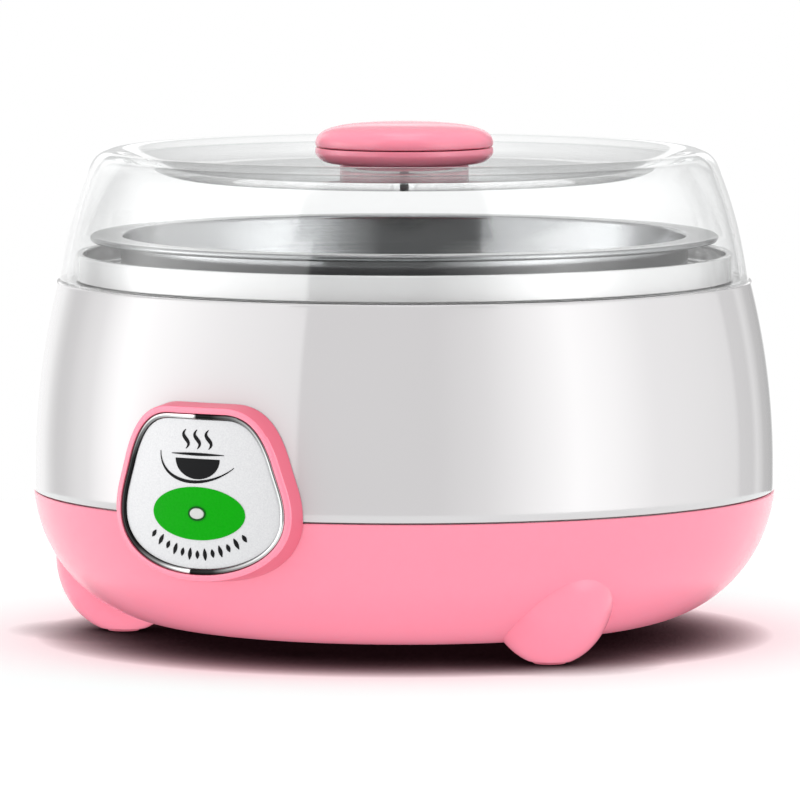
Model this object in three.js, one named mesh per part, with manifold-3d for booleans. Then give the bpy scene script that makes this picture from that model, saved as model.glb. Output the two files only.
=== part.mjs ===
// An electric yogurt maker: a round two-tone housing on three rounded feet, a stainless pot that
// stands on a small heating plate, and a clear domed lid with a two-piece knob.
// Millimetres, +Z up. The Z axis is the housing's axis, the feet stand on z = 0, and the badge
// with the indicator lamp faces -Y, so the mains inlet is at +Y.
import * as THREE from "three";
import { mergeVertices } from "three/addons/utils/BufferGeometryUtils.js";
import Module from "manifold-3d";

// ---------------------------------------------------------------- driving dimensions

const BODY_RADIUS = 95; // widest radius of the housing
const WALL = 2.3; // moulded wall of the housing
const GAP = 0.3; // clearance between pieces that touch
const ROUND = 32; // facets around the large shells

// The base is a bowl whose side is a quarter ellipse.
const BOWL_FLOOR = 4.4; // underside of the bowl
const BOWL_FLAT = 60; // radius of its flat floor
const BOWL_EQUATOR = 41; // level where the side stands upright
const SEAM = 38; // joint between the base and the upper shell
const SEAM_GROOVE = 0.4; // shadow groove at that joint

// The upper shell leans in on a large arc up to the ledge that carries the lid.
const SHELL_ARC = 190;
const SHELL_UPRIGHT = 44; // level where the arc starts, upright
const LEDGE = 91.5;
const LEDGE_MOUTH = 80.3; // opening in the shell's top flange

// The liner is a tub with a collar that stands up inside the lid.
const COLLAR_RADIUS = 84.2;
const COLLAR_TOP = 98.4;
const LINER_WALL = 2;
const WELL_MOUTH = 77.6; // radius of the well at its top
const WELL_TOP = 94;
const WELL_FOOT = 71.2; // radius of the well where its corner starts
const WELL_CORNER = 8;
const WELL_FLOOR = 28;

const POT_RIM = 80.4; // outer radius of the pot's rolled rim
const POT_TOP = 103;
const POT_WALL = 0.8;
const POT_NECK = 72.6; // outer radius of the pot's wall under the rim
const POT_FOOT = 66.5; // outer radius where the bottom corner starts
const POT_CORNER = 12;
const PLATE_TOP = 29; // heating plate
const POT_BOTTOM = PLATE_TOP + GAP;

const LID_RADIUS = 88.3; // outer radius at the skirt's lower edge
const LID_CREST_RADIUS = 75;
const LID_TOP = 124.6; // crest around the dished top
const LID_WALL = 2;
const LID_DISH = 119.2; // level of the dish at its centre
const LID_HOLE = 3.2;

const KNOB_RADIUS = 22.8;
const KNOB_NECK = 16.5;
const KNOB_BOTTOM = LID_DISH + GAP;
const KNOB_SCREW_HEAD = LID_DISH - 5.2; // underside of the screw's head
const KNOB_SEAT = KNOB_BOTTOM + 1.9; // floor of the lower half, under the upper half's boss
const KNOB_SPLIT = 125.4;
const KNOB_BORE = 1.9; // clears the screw's shank
const KNOB_TOP = 131.6;

// The feet are egg-shaped: half sizes along the circle they stand on, outwards and upwards.
const FOOT_SIZES = [16, 17.4, 20.2];
const FOOT_LEVEL = 19.6;
const FOOT_CIRCLE = 73;
const FOOT_BEARINGS = [61, -66, 180]; // degrees round from the badge
const FOOT_WALL = 2.6;
const PAD_RADIUS = 4.2;
const PAD_PROUD = 0.6;

const BADGE_RADIUS = 99.5; // the badge's face is part of a cylinder round the housing's axis
const BADGE_LEVEL = 43; // height of its centre
const BADGE_HALF_WIDTH = 24;
const BADGE_HALF_HEIGHT = 20;
const TRIM = 1.5; // width of the pink rim and of the bright ring
const BADGE_SEAT = 97.3; // radius of the bezel's recess
const PLATE_FACE = 98.6; // radii of the faces that sit in it
const OVAL_FACE = 99.2;
const RING_FACE = 99.3;
const BEZEL_FLARE = 0.125; // growth of the outline from the face to the rear
const LENS_SIZES = [2.2, 1.5]; // half sizes of the lamp window
const LENS_STEM = 2.2; // radius of the light pipe behind it
const LAMP_HOLE = 3.6; // radius of the hole through the housing
const LAMP_LEVEL = 39.6;
const BADGE_SCREW_X = 15; // screws from inside the shell, either side of the middle
const BADGE_SCREW_LEVEL = 54;
const BADGE_BOSS = 2.7;

const INLET_LEVEL = 28.6;
const INLET_FACE = 97.4; // front of the boss that carries the inlet
const PIN_OFFSET = 4.3;

const SCREW_CIRCLE = 52; // case screws
const SCREW_BEARINGS = [0, 120, -120];
const CLAMP_REACH = 42; // clamp screws, either side of the heater
const FUSE_Y = 16.8;
const FUSE_Z = 24.9;
const CLIP_BOSS_Y = 42;
const WIRE_RADIUS = 0.9;

// ---------------------------------------------------------------- materials

const finish = (color, roughness, metalness = 0) =>
  new THREE.MeshStandardMaterial({ color, roughness, metalness });

const pinkPlastic = finish(0xff93a8, 0.25);
const whitePlastic = finish(0xf2f1f1, 0.2);
const clearPlastic = new THREE.MeshStandardMaterial({
  color: 0xf4f7f7,
  roughness: 0.05,
  transparent: true,
  opacity: 0.25,
});
const stainless = finish(0xc9cbcc, 0.22, 1);
const chrome = finish(0xe6e8ea, 0.08, 1);
const silverFilm = finish(0xdedede, 0.35, 0.5);
const greenFilm = finish(0x00ac00, 0.35);
const lensPlastic = finish(0xf3f6f2, 0.2);
const rubber = finish(0xd8d4d2, 0.8);
const silicone = finish(0xf0ece6, 0.6);
const aluminium = finish(0xc4c6c8, 0.35, 1);
const zincSteel = finish(0xb9bcc0, 0.4, 1);
const brass = finish(0xd9b45a, 0.3, 1);
const blackPlastic = finish(0x1b1b1c, 0.45);
const boardGreen = finish(0x2f6b3a, 0.5);
const ledEpoxy = finish(0x7dcc72, 0.25);
const resistorBody = finish(0xc8ab7a, 0.4);
const redInsulation = finish(0xb3262a, 0.45);
const blueInsulation = finish(0x2f57a8, 0.45);

// ---------------------------------------------------------------- geometry helpers

const wasm = await Module();
wasm.setup();

function solidOf(geometry) {
  const bare = new THREE.BufferGeometry();
  bare.setAttribute("position", geometry.getAttribute("position"));
  bare.setIndex(geometry.index);
  const merged = mergeVertices(bare, 1e-3);
  const corners = merged.index.array;
  const triVerts = [];
  for (let i = 0; i < corners.length; i += 3) {
    const [a, b, c] = corners.subarray(i, i + 3);
    // A lathe has flat triangles where its profile meets the axis.
    if (a !== b && b !== c && c !== a) triVerts.push(a, b, c);
  }
  return new wasm.Manifold(
    new wasm.Mesh({
      numProp: 3,
      vertProperties: merged.attributes.position.array,
      triVerts: new Uint32Array(triVerts),
    }),
  );
}

function geometryOf(solid) {
  const mesh = solid.getMesh();
  const geometry = new THREE.BufferGeometry();
  geometry.setAttribute("position", new THREE.BufferAttribute(mesh.vertProperties, 3));
  geometry.setIndex(new THREE.BufferAttribute(mesh.triVerts, 1));
  return geometry;
}

const join = (first, ...others) =>
  geometryOf(others.reduce((whole, other) => whole.add(solidOf(other)), solidOf(first)));

const cut = (first, ...tools) =>
  geometryOf(tools.reduce((rest, tool) => rest.subtract(solidOf(tool)), solidOf(first)));

const common = (a, b) => geometryOf(solidOf(a).intersect(solidOf(b)));

// Turns a profile, drawn as x = radius and y = height, around the Z axis.
const turned = (profile, curveSteps, facets = ROUND) =>
  new THREE.LatheGeometry(profile.getPoints(curveSteps), facets).rotateX(Math.PI / 2);

// A plain turned solid from a few corner points.
const turnedCorners = (corners, facets) =>
  new THREE.LatheGeometry(
    corners.map(([radius, height]) => new THREE.Vector2(radius, height)),
    facets,
  ).rotateX(Math.PI / 2);

const rodZ = (radius, z0, z1, x = 0, y = 0, facets = 14) =>
  new THREE.CylinderGeometry(radius, radius, z1 - z0, facets)
    .rotateX(Math.PI / 2)
    .translate(x, y, (z0 + z1) / 2);

const rodY = (radius, y0, y1, x = 0, z = 0, facets = 16) =>
  new THREE.CylinderGeometry(radius, radius, y1 - y0, facets).translate(x, (y0 + y1) / 2, z);

const block = (x0, x1, y0, y1, z0, z1) =>
  new THREE.BoxGeometry(x1 - x0, y1 - y0, z1 - z0).translate(
    (x0 + x1) / 2,
    (y0 + y1) / 2,
    (z0 + z1) / 2,
  );

const egg = (halfX, halfY, halfZ) =>
  new THREE.SphereGeometry(1, 16, 8).rotateX(Math.PI / 2).scale(halfX, halfY, halfZ);

// A shape drawn in X and Z, extruded along Y from y0 to y1.
const extrudedY = (shape, y0, y1, curveSegments = 6) =>
  new THREE.ExtrudeGeometry(shape, { depth: y1 - y0, bevelEnabled: false, curveSegments })
    .rotateX(Math.PI / 2)
    .translate(0, y1, 0);

// x and y of a point that stands at a bearing, counted from the badge, and a radius.
function atBearing(bearing, radius) {
  const angle = THREE.MathUtils.degToRad(bearing);
  return [radius * Math.sin(angle), -radius * Math.cos(angle)];
}

function roundedRectangle(width, height, corner, level) {
  const [x, z] = [width / 2, height / 2];
  const shape = new THREE.Shape();
  shape.moveTo(corner - x, level - z);
  shape.lineTo(x - corner, level - z);
  shape.absarc(x - corner, level - z + corner, corner, -Math.PI / 2, 0);
  shape.lineTo(x, level + z - corner);
  shape.absarc(x - corner, level + z - corner, corner, 0, Math.PI / 2);
  shape.lineTo(corner - x, level + z);
  shape.absarc(corner - x, level + z - corner, corner, Math.PI / 2, Math.PI);
  shape.lineTo(-x, level - z + corner);
  shape.absarc(corner - x, level - z + corner, corner, Math.PI, 1.5 * Math.PI);
  return shape;
}

// ---------------------------------------------------------------- housing

// The bowl's filled shape up to a level, shrunk inwards by inset.
function bowl(inset, top) {
  const drop = (BOWL_EQUATOR - top) / (BOWL_EQUATOR - BOWL_FLOOR - inset);
  const profile = new THREE.Path();
  profile.moveTo(0, BOWL_FLOOR + inset);
  profile.lineTo(BOWL_FLAT, BOWL_FLOOR + inset);
  profile.absellipse(
    BOWL_FLAT,
    BOWL_EQUATOR,
    BODY_RADIUS - BOWL_FLAT - inset,
    BOWL_EQUATOR - BOWL_FLOOR - inset,
    -Math.PI / 2,
    -Math.asin(drop),
    false,
  );
  profile.lineTo(0, top);
  return turned(profile, 4);
}

// The feet's filled shapes, shrunk inwards by inset.
const feet = (inset) =>
  FOOT_BEARINGS.map((bearing) =>
    egg(...FOOT_SIZES.map((size) => size - inset))
      .rotateZ(THREE.MathUtils.degToRad(bearing))
      .translate(...atBearing(bearing, FOOT_CIRCLE), FOOT_LEVEL),
  );

function baseShell() {
  const top = SEAM - SEAM_GROOVE / 2;
  const boss = extrudedY(roundedRectangle(27, 16.4, 3.5, INLET_LEVEL), 70, INLET_FACE, 3);
  const bossHollow = extrudedY(roundedRectangle(23, 12.6, 2, INLET_LEVEL), 60, INLET_FACE - WALL, 2);
  const window = extrudedY(roundedRectangle(19.6, 12.1, 2.6, INLET_LEVEL), 90, 110, 2);
  const outside = join(bowl(0, top), ...feet(0), boss);
  const shell = cut(
    outside,
    bowl(WALL, BOWL_EQUATOR),
    ...feet(FOOT_WALL),
    bossHollow,
    window,
    block(-200, 200, -200, 200, -20, PAD_PROUD),
  );
  const screwBosses = SCREW_BEARINGS.map((bearing) =>
    rodZ(4.6, BOWL_FLOOR + 1, 15.9, ...atBearing(bearing, SCREW_CIRCLE)),
  );
  const rails = common(
    join(block(9.4, 13.6, -84.5, -77.4, 8, 34), block(-13.6, -9.4, -84.5, -77.4, 8, 34)),
    bowl(1, top),
  );
  const wells = SCREW_BEARINGS.flatMap((bearing) => [
    rodZ(3.5, 0, 11.9, ...atBearing(bearing, SCREW_CIRCLE)),
    rodZ(1.7, 11, 20, ...atBearing(bearing, SCREW_CIRCLE)),
  ]);
  const padSeats = FOOT_BEARINGS.map((bearing) =>
    rodZ(PAD_RADIUS + GAP, 0, 1.5, ...atBearing(bearing, FOOT_CIRCLE)),
  );
  const boardGroove = block(-11.3, 11.3, -82, -79.6, 18, 40);
  const lampHole = rodY(LAMP_HOLE, -110, -86, 0, LAMP_LEVEL, 20);
  return cut(
    join(shell, ...screwBosses, rails),
    ...wells,
    ...padSeats,
    boardGroove,
    lampHole,
  );
}

function upperShell() {
  const bottom = SEAM + SEAM_GROOVE / 2;
  const arcCentre = BODY_RADIUS - SHELL_ARC;
  const lean = (level, inset) => Math.asin((level - SHELL_UPRIGHT) / (SHELL_ARC - inset));
  const profile = new THREE.Path();
  profile.moveTo(90.3, bottom - 2.8);
  profile.lineTo(91.8, bottom - 2.8);
  profile.lineTo(91.8, bottom);
  profile.lineTo(BODY_RADIUS - 0.12, bottom);
  profile.lineTo(BODY_RADIUS, BOWL_EQUATOR);
  profile.absarc(arcCentre, SHELL_UPRIGHT, SHELL_ARC, 0, lean(LEDGE - 0.7, 0), false);
  profile.lineTo(88.2, LEDGE);
  profile.lineTo(LEDGE_MOUTH, LEDGE);
  profile.lineTo(LEDGE_MOUTH, LEDGE - 2.2);
  profile.absarc(arcCentre, SHELL_UPRIGHT, SHELL_ARC - WALL, lean(LEDGE - 2.2, WALL), 0, true);
  profile.lineTo(90.3, 40.6);
  profile.closePath();
  return cut(
    turned(profile, 2),
    rodY(LAMP_HOLE, -110, -86, 0, LAMP_LEVEL, 20),
    rodY(BADGE_BOSS + 0.4, -110, -86, -BADGE_SCREW_X, BADGE_SCREW_LEVEL),
    rodY(BADGE_BOSS + 0.4, -110, -86, BADGE_SCREW_X, BADGE_SCREW_LEVEL),
  );
}

function innerLiner() {
  const under = WELL_FLOOR - 2.2;
  const corner = WELL_FOOT - WELL_CORNER;
  const profile = new THREE.Path();
  profile.moveTo(COLLAR_RADIUS, LEDGE + GAP);
  profile.lineTo(COLLAR_RADIUS, COLLAR_TOP - 0.5);
  profile.lineTo(COLLAR_RADIUS - 0.5, COLLAR_TOP);
  profile.lineTo(COLLAR_RADIUS - LINER_WALL, COLLAR_TOP);
  profile.lineTo(COLLAR_RADIUS - LINER_WALL, WELL_TOP);
  profile.lineTo(WELL_MOUTH, WELL_TOP);
  profile.lineTo(WELL_FOOT, WELL_FLOOR + WELL_CORNER);
  profile.absarc(corner, WELL_FLOOR + WELL_CORNER, WELL_CORNER, 0, -Math.PI / 2, true);
  profile.lineTo(36, WELL_FLOOR);
  profile.lineTo(36, 26.2);
  profile.lineTo(30, 26.2);
  profile.lineTo(30, 24);
  profile.lineTo(38.4, 24);
  profile.lineTo(38.4, under);
  profile.absarc(corner, WELL_FLOOR + WELL_CORNER, WELL_CORNER + 2.2, -Math.PI / 2, 0, false);
  profile.lineTo(WELL_MOUTH + LINER_WALL, LEDGE + GAP);
  profile.closePath();
  const posts = SCREW_BEARINGS.map((bearing) =>
    rodZ(4, 16.2, WELL_FLOOR - 1, ...atBearing(bearing, SCREW_CIRCLE)),
  );
  const heaterBosses = [-CLAMP_REACH, CLAMP_REACH].map((x) => rodZ(3.6, 19, WELL_FLOOR - 1, x));
  const clipBoss = rodZ(3.4, 22.8, WELL_FLOOR - 1, 0, CLIP_BOSS_Y);
  // Six ribs keep the pot central in the well.
  const rib = new THREE.Shape();
  rib.moveTo(68.6, 44);
  rib.lineTo(75, 44);
  rib.lineTo(78, 88);
  rib.lineTo(73.4, 88);
  const ribs = [0, 60, 120, 180, 240, 300].map((turn) =>
    new THREE.ExtrudeGeometry(rib, { depth: 1.8, bevelEnabled: false })
      .translate(0, 0, -0.9)
      .rotateX(Math.PI / 2)
      .rotateZ(THREE.MathUtils.degToRad(turn)),
  );
  const pilots = [
    ...SCREW_BEARINGS.map((bearing) => rodZ(1.5, 10, 24.3, ...atBearing(bearing, SCREW_CIRCLE), 10)),
    ...[-CLAMP_REACH, CLAMP_REACH].map((x) => rodZ(1.5, 10, 24.3, x, 0, 10)),
    rodZ(1.3, 10, 26.2, 0, CLIP_BOSS_Y, 10),
  ];
  return cut(join(turned(profile, 2), ...posts, ...heaterBosses, clipBoss, ...ribs), ...pilots);
}

const footPad = () =>
  turnedCorners([[0, 0], [PAD_RADIUS - 0.3, 0], [PAD_RADIUS, 0.3], [PAD_RADIUS, 1.2], [0, 1.2]], 16);

// A pan-head screw standing on z = 0 with its head down and its shank up.
const screw = (head, headHeight, shank, length) =>
  turnedCorners(
    [
      [0, 0],
      [head * 0.75, 0],
      [head, headHeight * 0.5],
      [head, headHeight],
      [shank, headHeight],
      [shank, headHeight + length - 1],
      [0, headHeight + length],
    ],
    10,
  );

// ---------------------------------------------------------------- badge and lamp

// The badge's outline, grown outwards by a margin: narrow at the top and wide near the bottom.
function badgeOutline(margin) {
  const wide = 1 + margin / BADGE_HALF_WIDTH;
  const tall = 1 + margin / BADGE_HALF_HEIGHT;
  const shape = new THREE.Shape();
  const at = (x, z) => [x * wide, BADGE_LEVEL + (z - BADGE_LEVEL) * tall];
  const sweep = (a, b, c) => shape.bezierCurveTo(...at(...a), ...at(...b), ...at(...c));
  shape.moveTo(...at(-8, 64.4));
  shape.lineTo(...at(8, 64.4));
  sweep([14, 64.4], [17.8, 61], [20.6, 53]);
  sweep([22.4, 47], [24, 44], [24, 39.5]);
  sweep([24.2, 30.5], [14, 24.4], [0, 24.4]);
  sweep([-14, 24.4], [-24.2, 30.5], [-24, 39.5]);
  sweep([-24, 44], [-22.4, 47], [-20.6, 53]);
  sweep([-17.8, 61], [-14, 64.4], [-8, 64.4]);
  return shape;
}

function ovalOutline(halfWidth, halfHeight) {
  const shape = new THREE.Shape();
  shape.absellipse(0, LAMP_LEVEL, halfWidth, halfHeight, 0, 2 * Math.PI);
  return shape;
}

// The part of a round shell between two radii that lies inside an outline seen from the front.
function curvedPlate(outline, inner, outer, curveSegments = 5) {
  const shell = turnedCorners(
    [[inner, 15], [outer, 15], [outer, 75], [inner, 75], [inner, 15]],
    64,
  );
  return common(shell, extrudedY(outline, -outer - 5, -50, curveSegments));
}

// The bezel's flared side walls: the outline widens from the face to the rear.
function flaredBlock(outline, front, rear) {
  const geometry = extrudedY(outline, front, rear, 5);
  const position = geometry.getAttribute("position");
  for (let i = 0; i < position.count; i++) {
    const spread = 1 + BEZEL_FLARE * ((position.getY(i) - front) / (rear - front));
    position.setX(i, position.getX(i) * spread);
    position.setZ(i, BADGE_LEVEL + (position.getZ(i) - BADGE_LEVEL) * spread);
  }
  return geometry;
}

function badgeBezel() {
  const housingSide = turned(housingOutline(GAP), 5, 2 * ROUND);
  const rounded = common(
    flaredBlock(badgeOutline(TRIM), -BADGE_RADIUS - 1, -70),
    rodZ(BADGE_RADIUS, 10, 80, 0, 0, 4 * ROUND),
  );
  const screwPlaces = [-BADGE_SCREW_X, BADGE_SCREW_X];
  const bosses = screwPlaces.map((x) => rodY(BADGE_BOSS, -96.5, -89.8, x, BADGE_SCREW_LEVEL));
  const pilots = screwPlaces.map((x) => rodY(1.2, -96, -80, x, BADGE_SCREW_LEVEL, 10));
  return cut(
    join(cut(rounded, housingSide), ...bosses),
    curvedPlate(badgeOutline(GAP / 2), BADGE_SEAT, 110),
    rodY(LENS_STEM + 0.4, -105, -80, 0, LAMP_LEVEL, 20),
    ...pilots,
  );
}

// The outside of the whole housing as one filled shape, grown by a margin.
function housingOutline(margin) {
  const reach = SHELL_ARC + margin;
  const profile = new THREE.Path();
  profile.moveTo(0, BOWL_FLOOR - margin);
  profile.lineTo(BOWL_FLAT, BOWL_FLOOR - margin);
  profile.absellipse(
    BOWL_FLAT,
    BOWL_EQUATOR,
    BODY_RADIUS - BOWL_FLAT + margin,
    BOWL_EQUATOR - BOWL_FLOOR + margin,
    -Math.PI / 2,
    0,
    false,
  );
  profile.absarc(BODY_RADIUS - SHELL_ARC, SHELL_UPRIGHT, reach, 0, Math.asin(45 / reach), false);
  profile.lineTo(0, SHELL_UPRIGHT + 45);
  return profile;
}

const badgePlate = () =>
  cut(
    curvedPlate(badgeOutline(-TRIM), BADGE_SEAT + GAP, PLATE_FACE),
    rodY(LENS_STEM + 0.4, -105, -80, 0, LAMP_LEVEL, 20),
  );

const badgeRing = () =>
  cut(
    curvedPlate(badgeOutline(-GAP / 2), BADGE_SEAT + GAP, RING_FACE),
    curvedPlate(badgeOutline(GAP - TRIM), 90, 110),
  );

const badgeOval = () =>
  cut(
    curvedPlate(ovalOutline(13.3, 6.6), PLATE_FACE + GAP, OVAL_FACE, 8),
    extrudedY(ovalOutline(...LENS_SIZES.map((size) => size + 0.4)), -110, -80, 6),
  );

// A light pipe: a round stem through the bezel with an oval window at the front.
const lampLens = () =>
  join(
    rodY(LENS_STEM, -98.5, -95.3, 0, LAMP_LEVEL, 16),
    extrudedY(ovalOutline(...LENS_SIZES), -99.6, -97, 5),
  );

const lampBoard = () =>
  cut(
    block(-11, 11, -81.6, -80, 18.4, 45),
    rodY(0.9, -90, -70, -5, 24, 8),
    rodY(0.9, -90, -70, 5, 24, 8),
  );

function indicatorLed() {
  const side = new THREE.Path();
  side.moveTo(0, 0);
  side.lineTo(2.9, 0);
  side.lineTo(2.9, 1);
  side.lineTo(2.5, 1);
  side.lineTo(2.5, 6.1);
  side.absarc(0, 6.1, 2.5, 0, Math.PI / 2, false);
  return turned(side, 2, 12).rotateX(Math.PI / 2);
}

const resistor = () =>
  turnedCorners(
    [[0, -7], [0.4, -7], [0.4, -4.5], [1.6, -4.2], [1.6, 4.2], [0.4, 4.5], [0.4, 7], [0, 7]],
    12,
  ).rotateY(Math.PI / 2);

// ---------------------------------------------------------------- heater

const heatingPlate = () =>
  turnedCorners([[0, 27.3], [35.6, 27.3], [35.6, 28.6], [35.2, PLATE_TOP], [0, PLATE_TOP]], ROUND);

const plateGasket = () =>
  turnedCorners([[31, 26.4], [35.4, 26.4], [35.4, 27.1], [31, 27.1], [31, 26.4]], ROUND);

function ptcHeater() {
  const terminals = [-5, 5].map((y) => block(22, 26, y - 1.6, y + 1.6, 22.6, 23.4));
  return join(block(-23, 23, -12, 12, 19, 27), ...terminals);
}

const heaterClamp = () =>
  cut(
    block(-46, 46, -5, 5, 17.4, 18.7),
    rodZ(1.7, 10, 30, -CLAMP_REACH, 0, 12),
    rodZ(1.7, 10, 30, CLAMP_REACH, 0, 12),
  );

const thermalFuse = () =>
  turnedCorners(
    [[0, -14], [0.5, -14], [0.5, -6.4], [1.4, -6], [2.1, -5.4], [2.1, 6], [0.5, 6.2], [0.5, 14], [0, 14]],
    12,
  ).rotateY(Math.PI / 2);

const fuseClip = () =>
  cut(
    join(block(-4, 4, 13, 46, 21.3, 22.4), block(-4, 4, 13, 14.1, 21.3, 25.6)),
    rodZ(1.6, 10, 30, 0, CLIP_BOSS_Y, 12),
  );

// ---------------------------------------------------------------- mains inlet and wiring

function mainsInlet() {
  const socket = new THREE.Shape();
  socket.moveTo(-PIN_OFFSET, INLET_LEVEL - 4.3);
  socket.quadraticCurveTo(0, INLET_LEVEL - 3.1, PIN_OFFSET, INLET_LEVEL - 4.3);
  socket.absarc(PIN_OFFSET, INLET_LEVEL, 4.3, -Math.PI / 2, Math.PI / 2, false);
  socket.quadraticCurveTo(0, INLET_LEVEL + 3.1, -PIN_OFFSET, INLET_LEVEL + 4.3);
  socket.absarc(-PIN_OFFSET, INLET_LEVEL, 4.3, Math.PI / 2, 1.5 * Math.PI, false);
  const flange = extrudedY(roundedRectangle(23.4, 14.6, 3, INLET_LEVEL), INLET_FACE + GAP, 99.2, 3);
  const body = extrudedY(roundedRectangle(19, 11.5, 2.4, INLET_LEVEL), 82, 98.5, 3);
  return cut(
    join(flange, body),
    extrudedY(socket, 86, 110, 5),
    rodY(1.5, 70, 90, -PIN_OFFSET, INLET_LEVEL, 12),
    rodY(1.5, 70, 90, PIN_OFFSET, INLET_LEVEL, 12),
  );
}

const inletPin = () =>
  turnedCorners([[0, 0], [1.2, 0], [1.2, 19.8], [0.7, 20.5], [0, 20.5]], 12).rotateX(-Math.PI / 2);

const crimpCap = () =>
  turnedCorners([[0, 0], [2.2, 0], [2.6, 1], [2.6, 11], [3, 12], [0, 12]], 14).rotateX(-Math.PI / 2);

// A round wire along hand-placed points.
function wire(points, steps) {
  const section = new THREE.Shape();
  section.absarc(0, 0, WIRE_RADIUS, 0, 2 * Math.PI);
  const route = new THREE.CatmullRomCurve3(
    points.map((p) => new THREE.Vector3(...p)),
    false,
    "centripetal",
  );
  return new THREE.ExtrudeGeometry(section, { steps, extrudePath: route, curveSegments: 3 });
}

const mirrored = (points) => points.map(([x, y, z]) => [-x, y, z]);

const INLET_LEAD = [
  [-4.3, 75.4, 28.6], [-4.4, 73.2, 28.4], [-6, 70, 24.5], [-9, 65.5, 17],
  [-14.5, 60.5, 13], [-19.5, 57, 12], [-21.4, 54.8, 11.9], [-21.6, 52.4, 11.9],
];
const FUSE_LEAD = [
  [-23.3, 52.4, 9.6], [-23.5, 54.6, 9.6], [-26.5, 56.6, 9.6], [-30.5, 53.5, 9.6], [-32, 44, 10.5],
  [-30.5, 33, 14], [-26.5, 23.5, 19.5], [-21.5, 18.4, 22.6], [-17, FUSE_Y, FUSE_Z], [-14.5, FUSE_Y, FUSE_Z],
];
const HEATER_LEAD_LIVE = [
  [14.5, FUSE_Y, FUSE_Z], [17, FUSE_Y, FUSE_Z], [23, 15.2, 23.4], [28, 11, 22.4],
  [29.6, 7, 22.6], [28.8, 5, 23], [26.4, 5, 23],
];
const HEATER_LEAD_NEUTRAL = [
  [23.3, 52.4, 9.6], [23.5, 54.6, 9.6], [26.5, 56.6, 9.6], [30.5, 53.5, 9.6], [33, 44, 10.5],
  [34, 28, 12], [34.5, 10, 13], [34.4, -6, 14], [32.6, -10.6, 17.6], [30.4, -9, 21.4],
  [28.8, -5, 23], [26.4, -5, 23],
];
const LAMP_LEAD = [
  [-20.7, 52.4, 9.6], [-20.8, 55, 9.6], [-26, 60.5, 9.6], [-38, 50.5, 10], [-54.5, 24, 10.2],
  [-58, -5, 10.2], [-50, -31, 10.2], [-30, -56, 11], [-14, -68, 13.5], [-6.5, -73.6, 18.5],
  [-5, -75.4, 23], [-5, -77, 24], [-5, -79.4, 24],
];

// ---------------------------------------------------------------- pot, lid and knob

function innerPot() {
  const corner = POT_FOOT - POT_CORNER;
  const lip = POT_TOP - POT_WALL;
  const profile = new THREE.Path();
  profile.moveTo(0, POT_BOTTOM);
  profile.lineTo(corner, POT_BOTTOM);
  profile.absarc(corner, POT_BOTTOM + POT_CORNER, POT_CORNER, -Math.PI / 2, 0, false);
  profile.lineTo(POT_NECK, lip - 2.7);
  profile.quadraticCurveTo(POT_NECK + 0.2, lip, POT_NECK + 2.6, lip);
  profile.lineTo(POT_RIM - 1.4, lip);
  profile.lineTo(POT_RIM - 1.4, lip - 0.9);
  profile.lineTo(POT_RIM - 0.2, lip - 0.9);
  profile.lineTo(POT_RIM, POT_TOP - 0.5);
  profile.lineTo(POT_RIM - 0.6, POT_TOP);
  profile.lineTo(POT_NECK + 2.6, POT_TOP);
  profile.quadraticCurveTo(POT_NECK - 0.5, POT_TOP, POT_NECK - POT_WALL, lip - 2.7);
  profile.lineTo(POT_FOOT - POT_WALL, POT_BOTTOM + POT_CORNER);
  profile.absarc(corner, POT_BOTTOM + POT_CORNER, POT_CORNER - POT_WALL, 0, -Math.PI / 2, true);
  profile.lineTo(0, POT_BOTTOM + POT_WALL);
  return turned(profile, 2);
}

function outerLid() {
  const bottom = LEDGE + GAP;
  const profile = new THREE.Path();
  profile.moveTo(LID_RADIUS, bottom);
  profile.quadraticCurveTo(86.6, 106, 81.6, LID_TOP - 5.7);
  profile.quadraticCurveTo(79.3, LID_TOP, LID_CREST_RADIUS, LID_TOP);
  profile.bezierCurveTo(68, LID_TOP, 66, LID_DISH + 0.4, 54, LID_DISH + 0.2);
  profile.lineTo(LID_HOLE, LID_DISH);
  profile.lineTo(LID_HOLE, LID_DISH - LID_WALL);
  profile.lineTo(54, LID_DISH + 0.2 - LID_WALL);
  profile.bezierCurveTo(67, LID_DISH - 1.6, 69, LID_TOP - LID_WALL, 74.6, LID_TOP - LID_WALL);
  profile.quadraticCurveTo(77.8, LID_TOP - LID_WALL, 79.7, LID_TOP - 6.4);
  profile.quadraticCurveTo(84.6, 105.6, LID_RADIUS - LID_WALL, bottom);
  profile.closePath();
  return turned(profile, 3);
}

function knobBase() {
  const top = KNOB_SPLIT - GAP / 2;
  const profile = new THREE.Path();
  profile.moveTo(KNOB_BORE, KNOB_BOTTOM);
  profile.lineTo(KNOB_NECK, KNOB_BOTTOM);
  profile.lineTo(KNOB_NECK, KNOB_BOTTOM + 1.5);
  profile.quadraticCurveTo(KNOB_RADIUS - 0.8, KNOB_BOTTOM + 1.7, KNOB_RADIUS - 0.1, top);
  profile.lineTo(KNOB_RADIUS - 2.2, top);
  profile.quadraticCurveTo(20, 122.8, 15, 122.7);
  profile.lineTo(14, KNOB_SEAT);
  profile.lineTo(KNOB_BORE, KNOB_SEAT);
  profile.closePath();
  return turned(profile, 3, 24);
}

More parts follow.
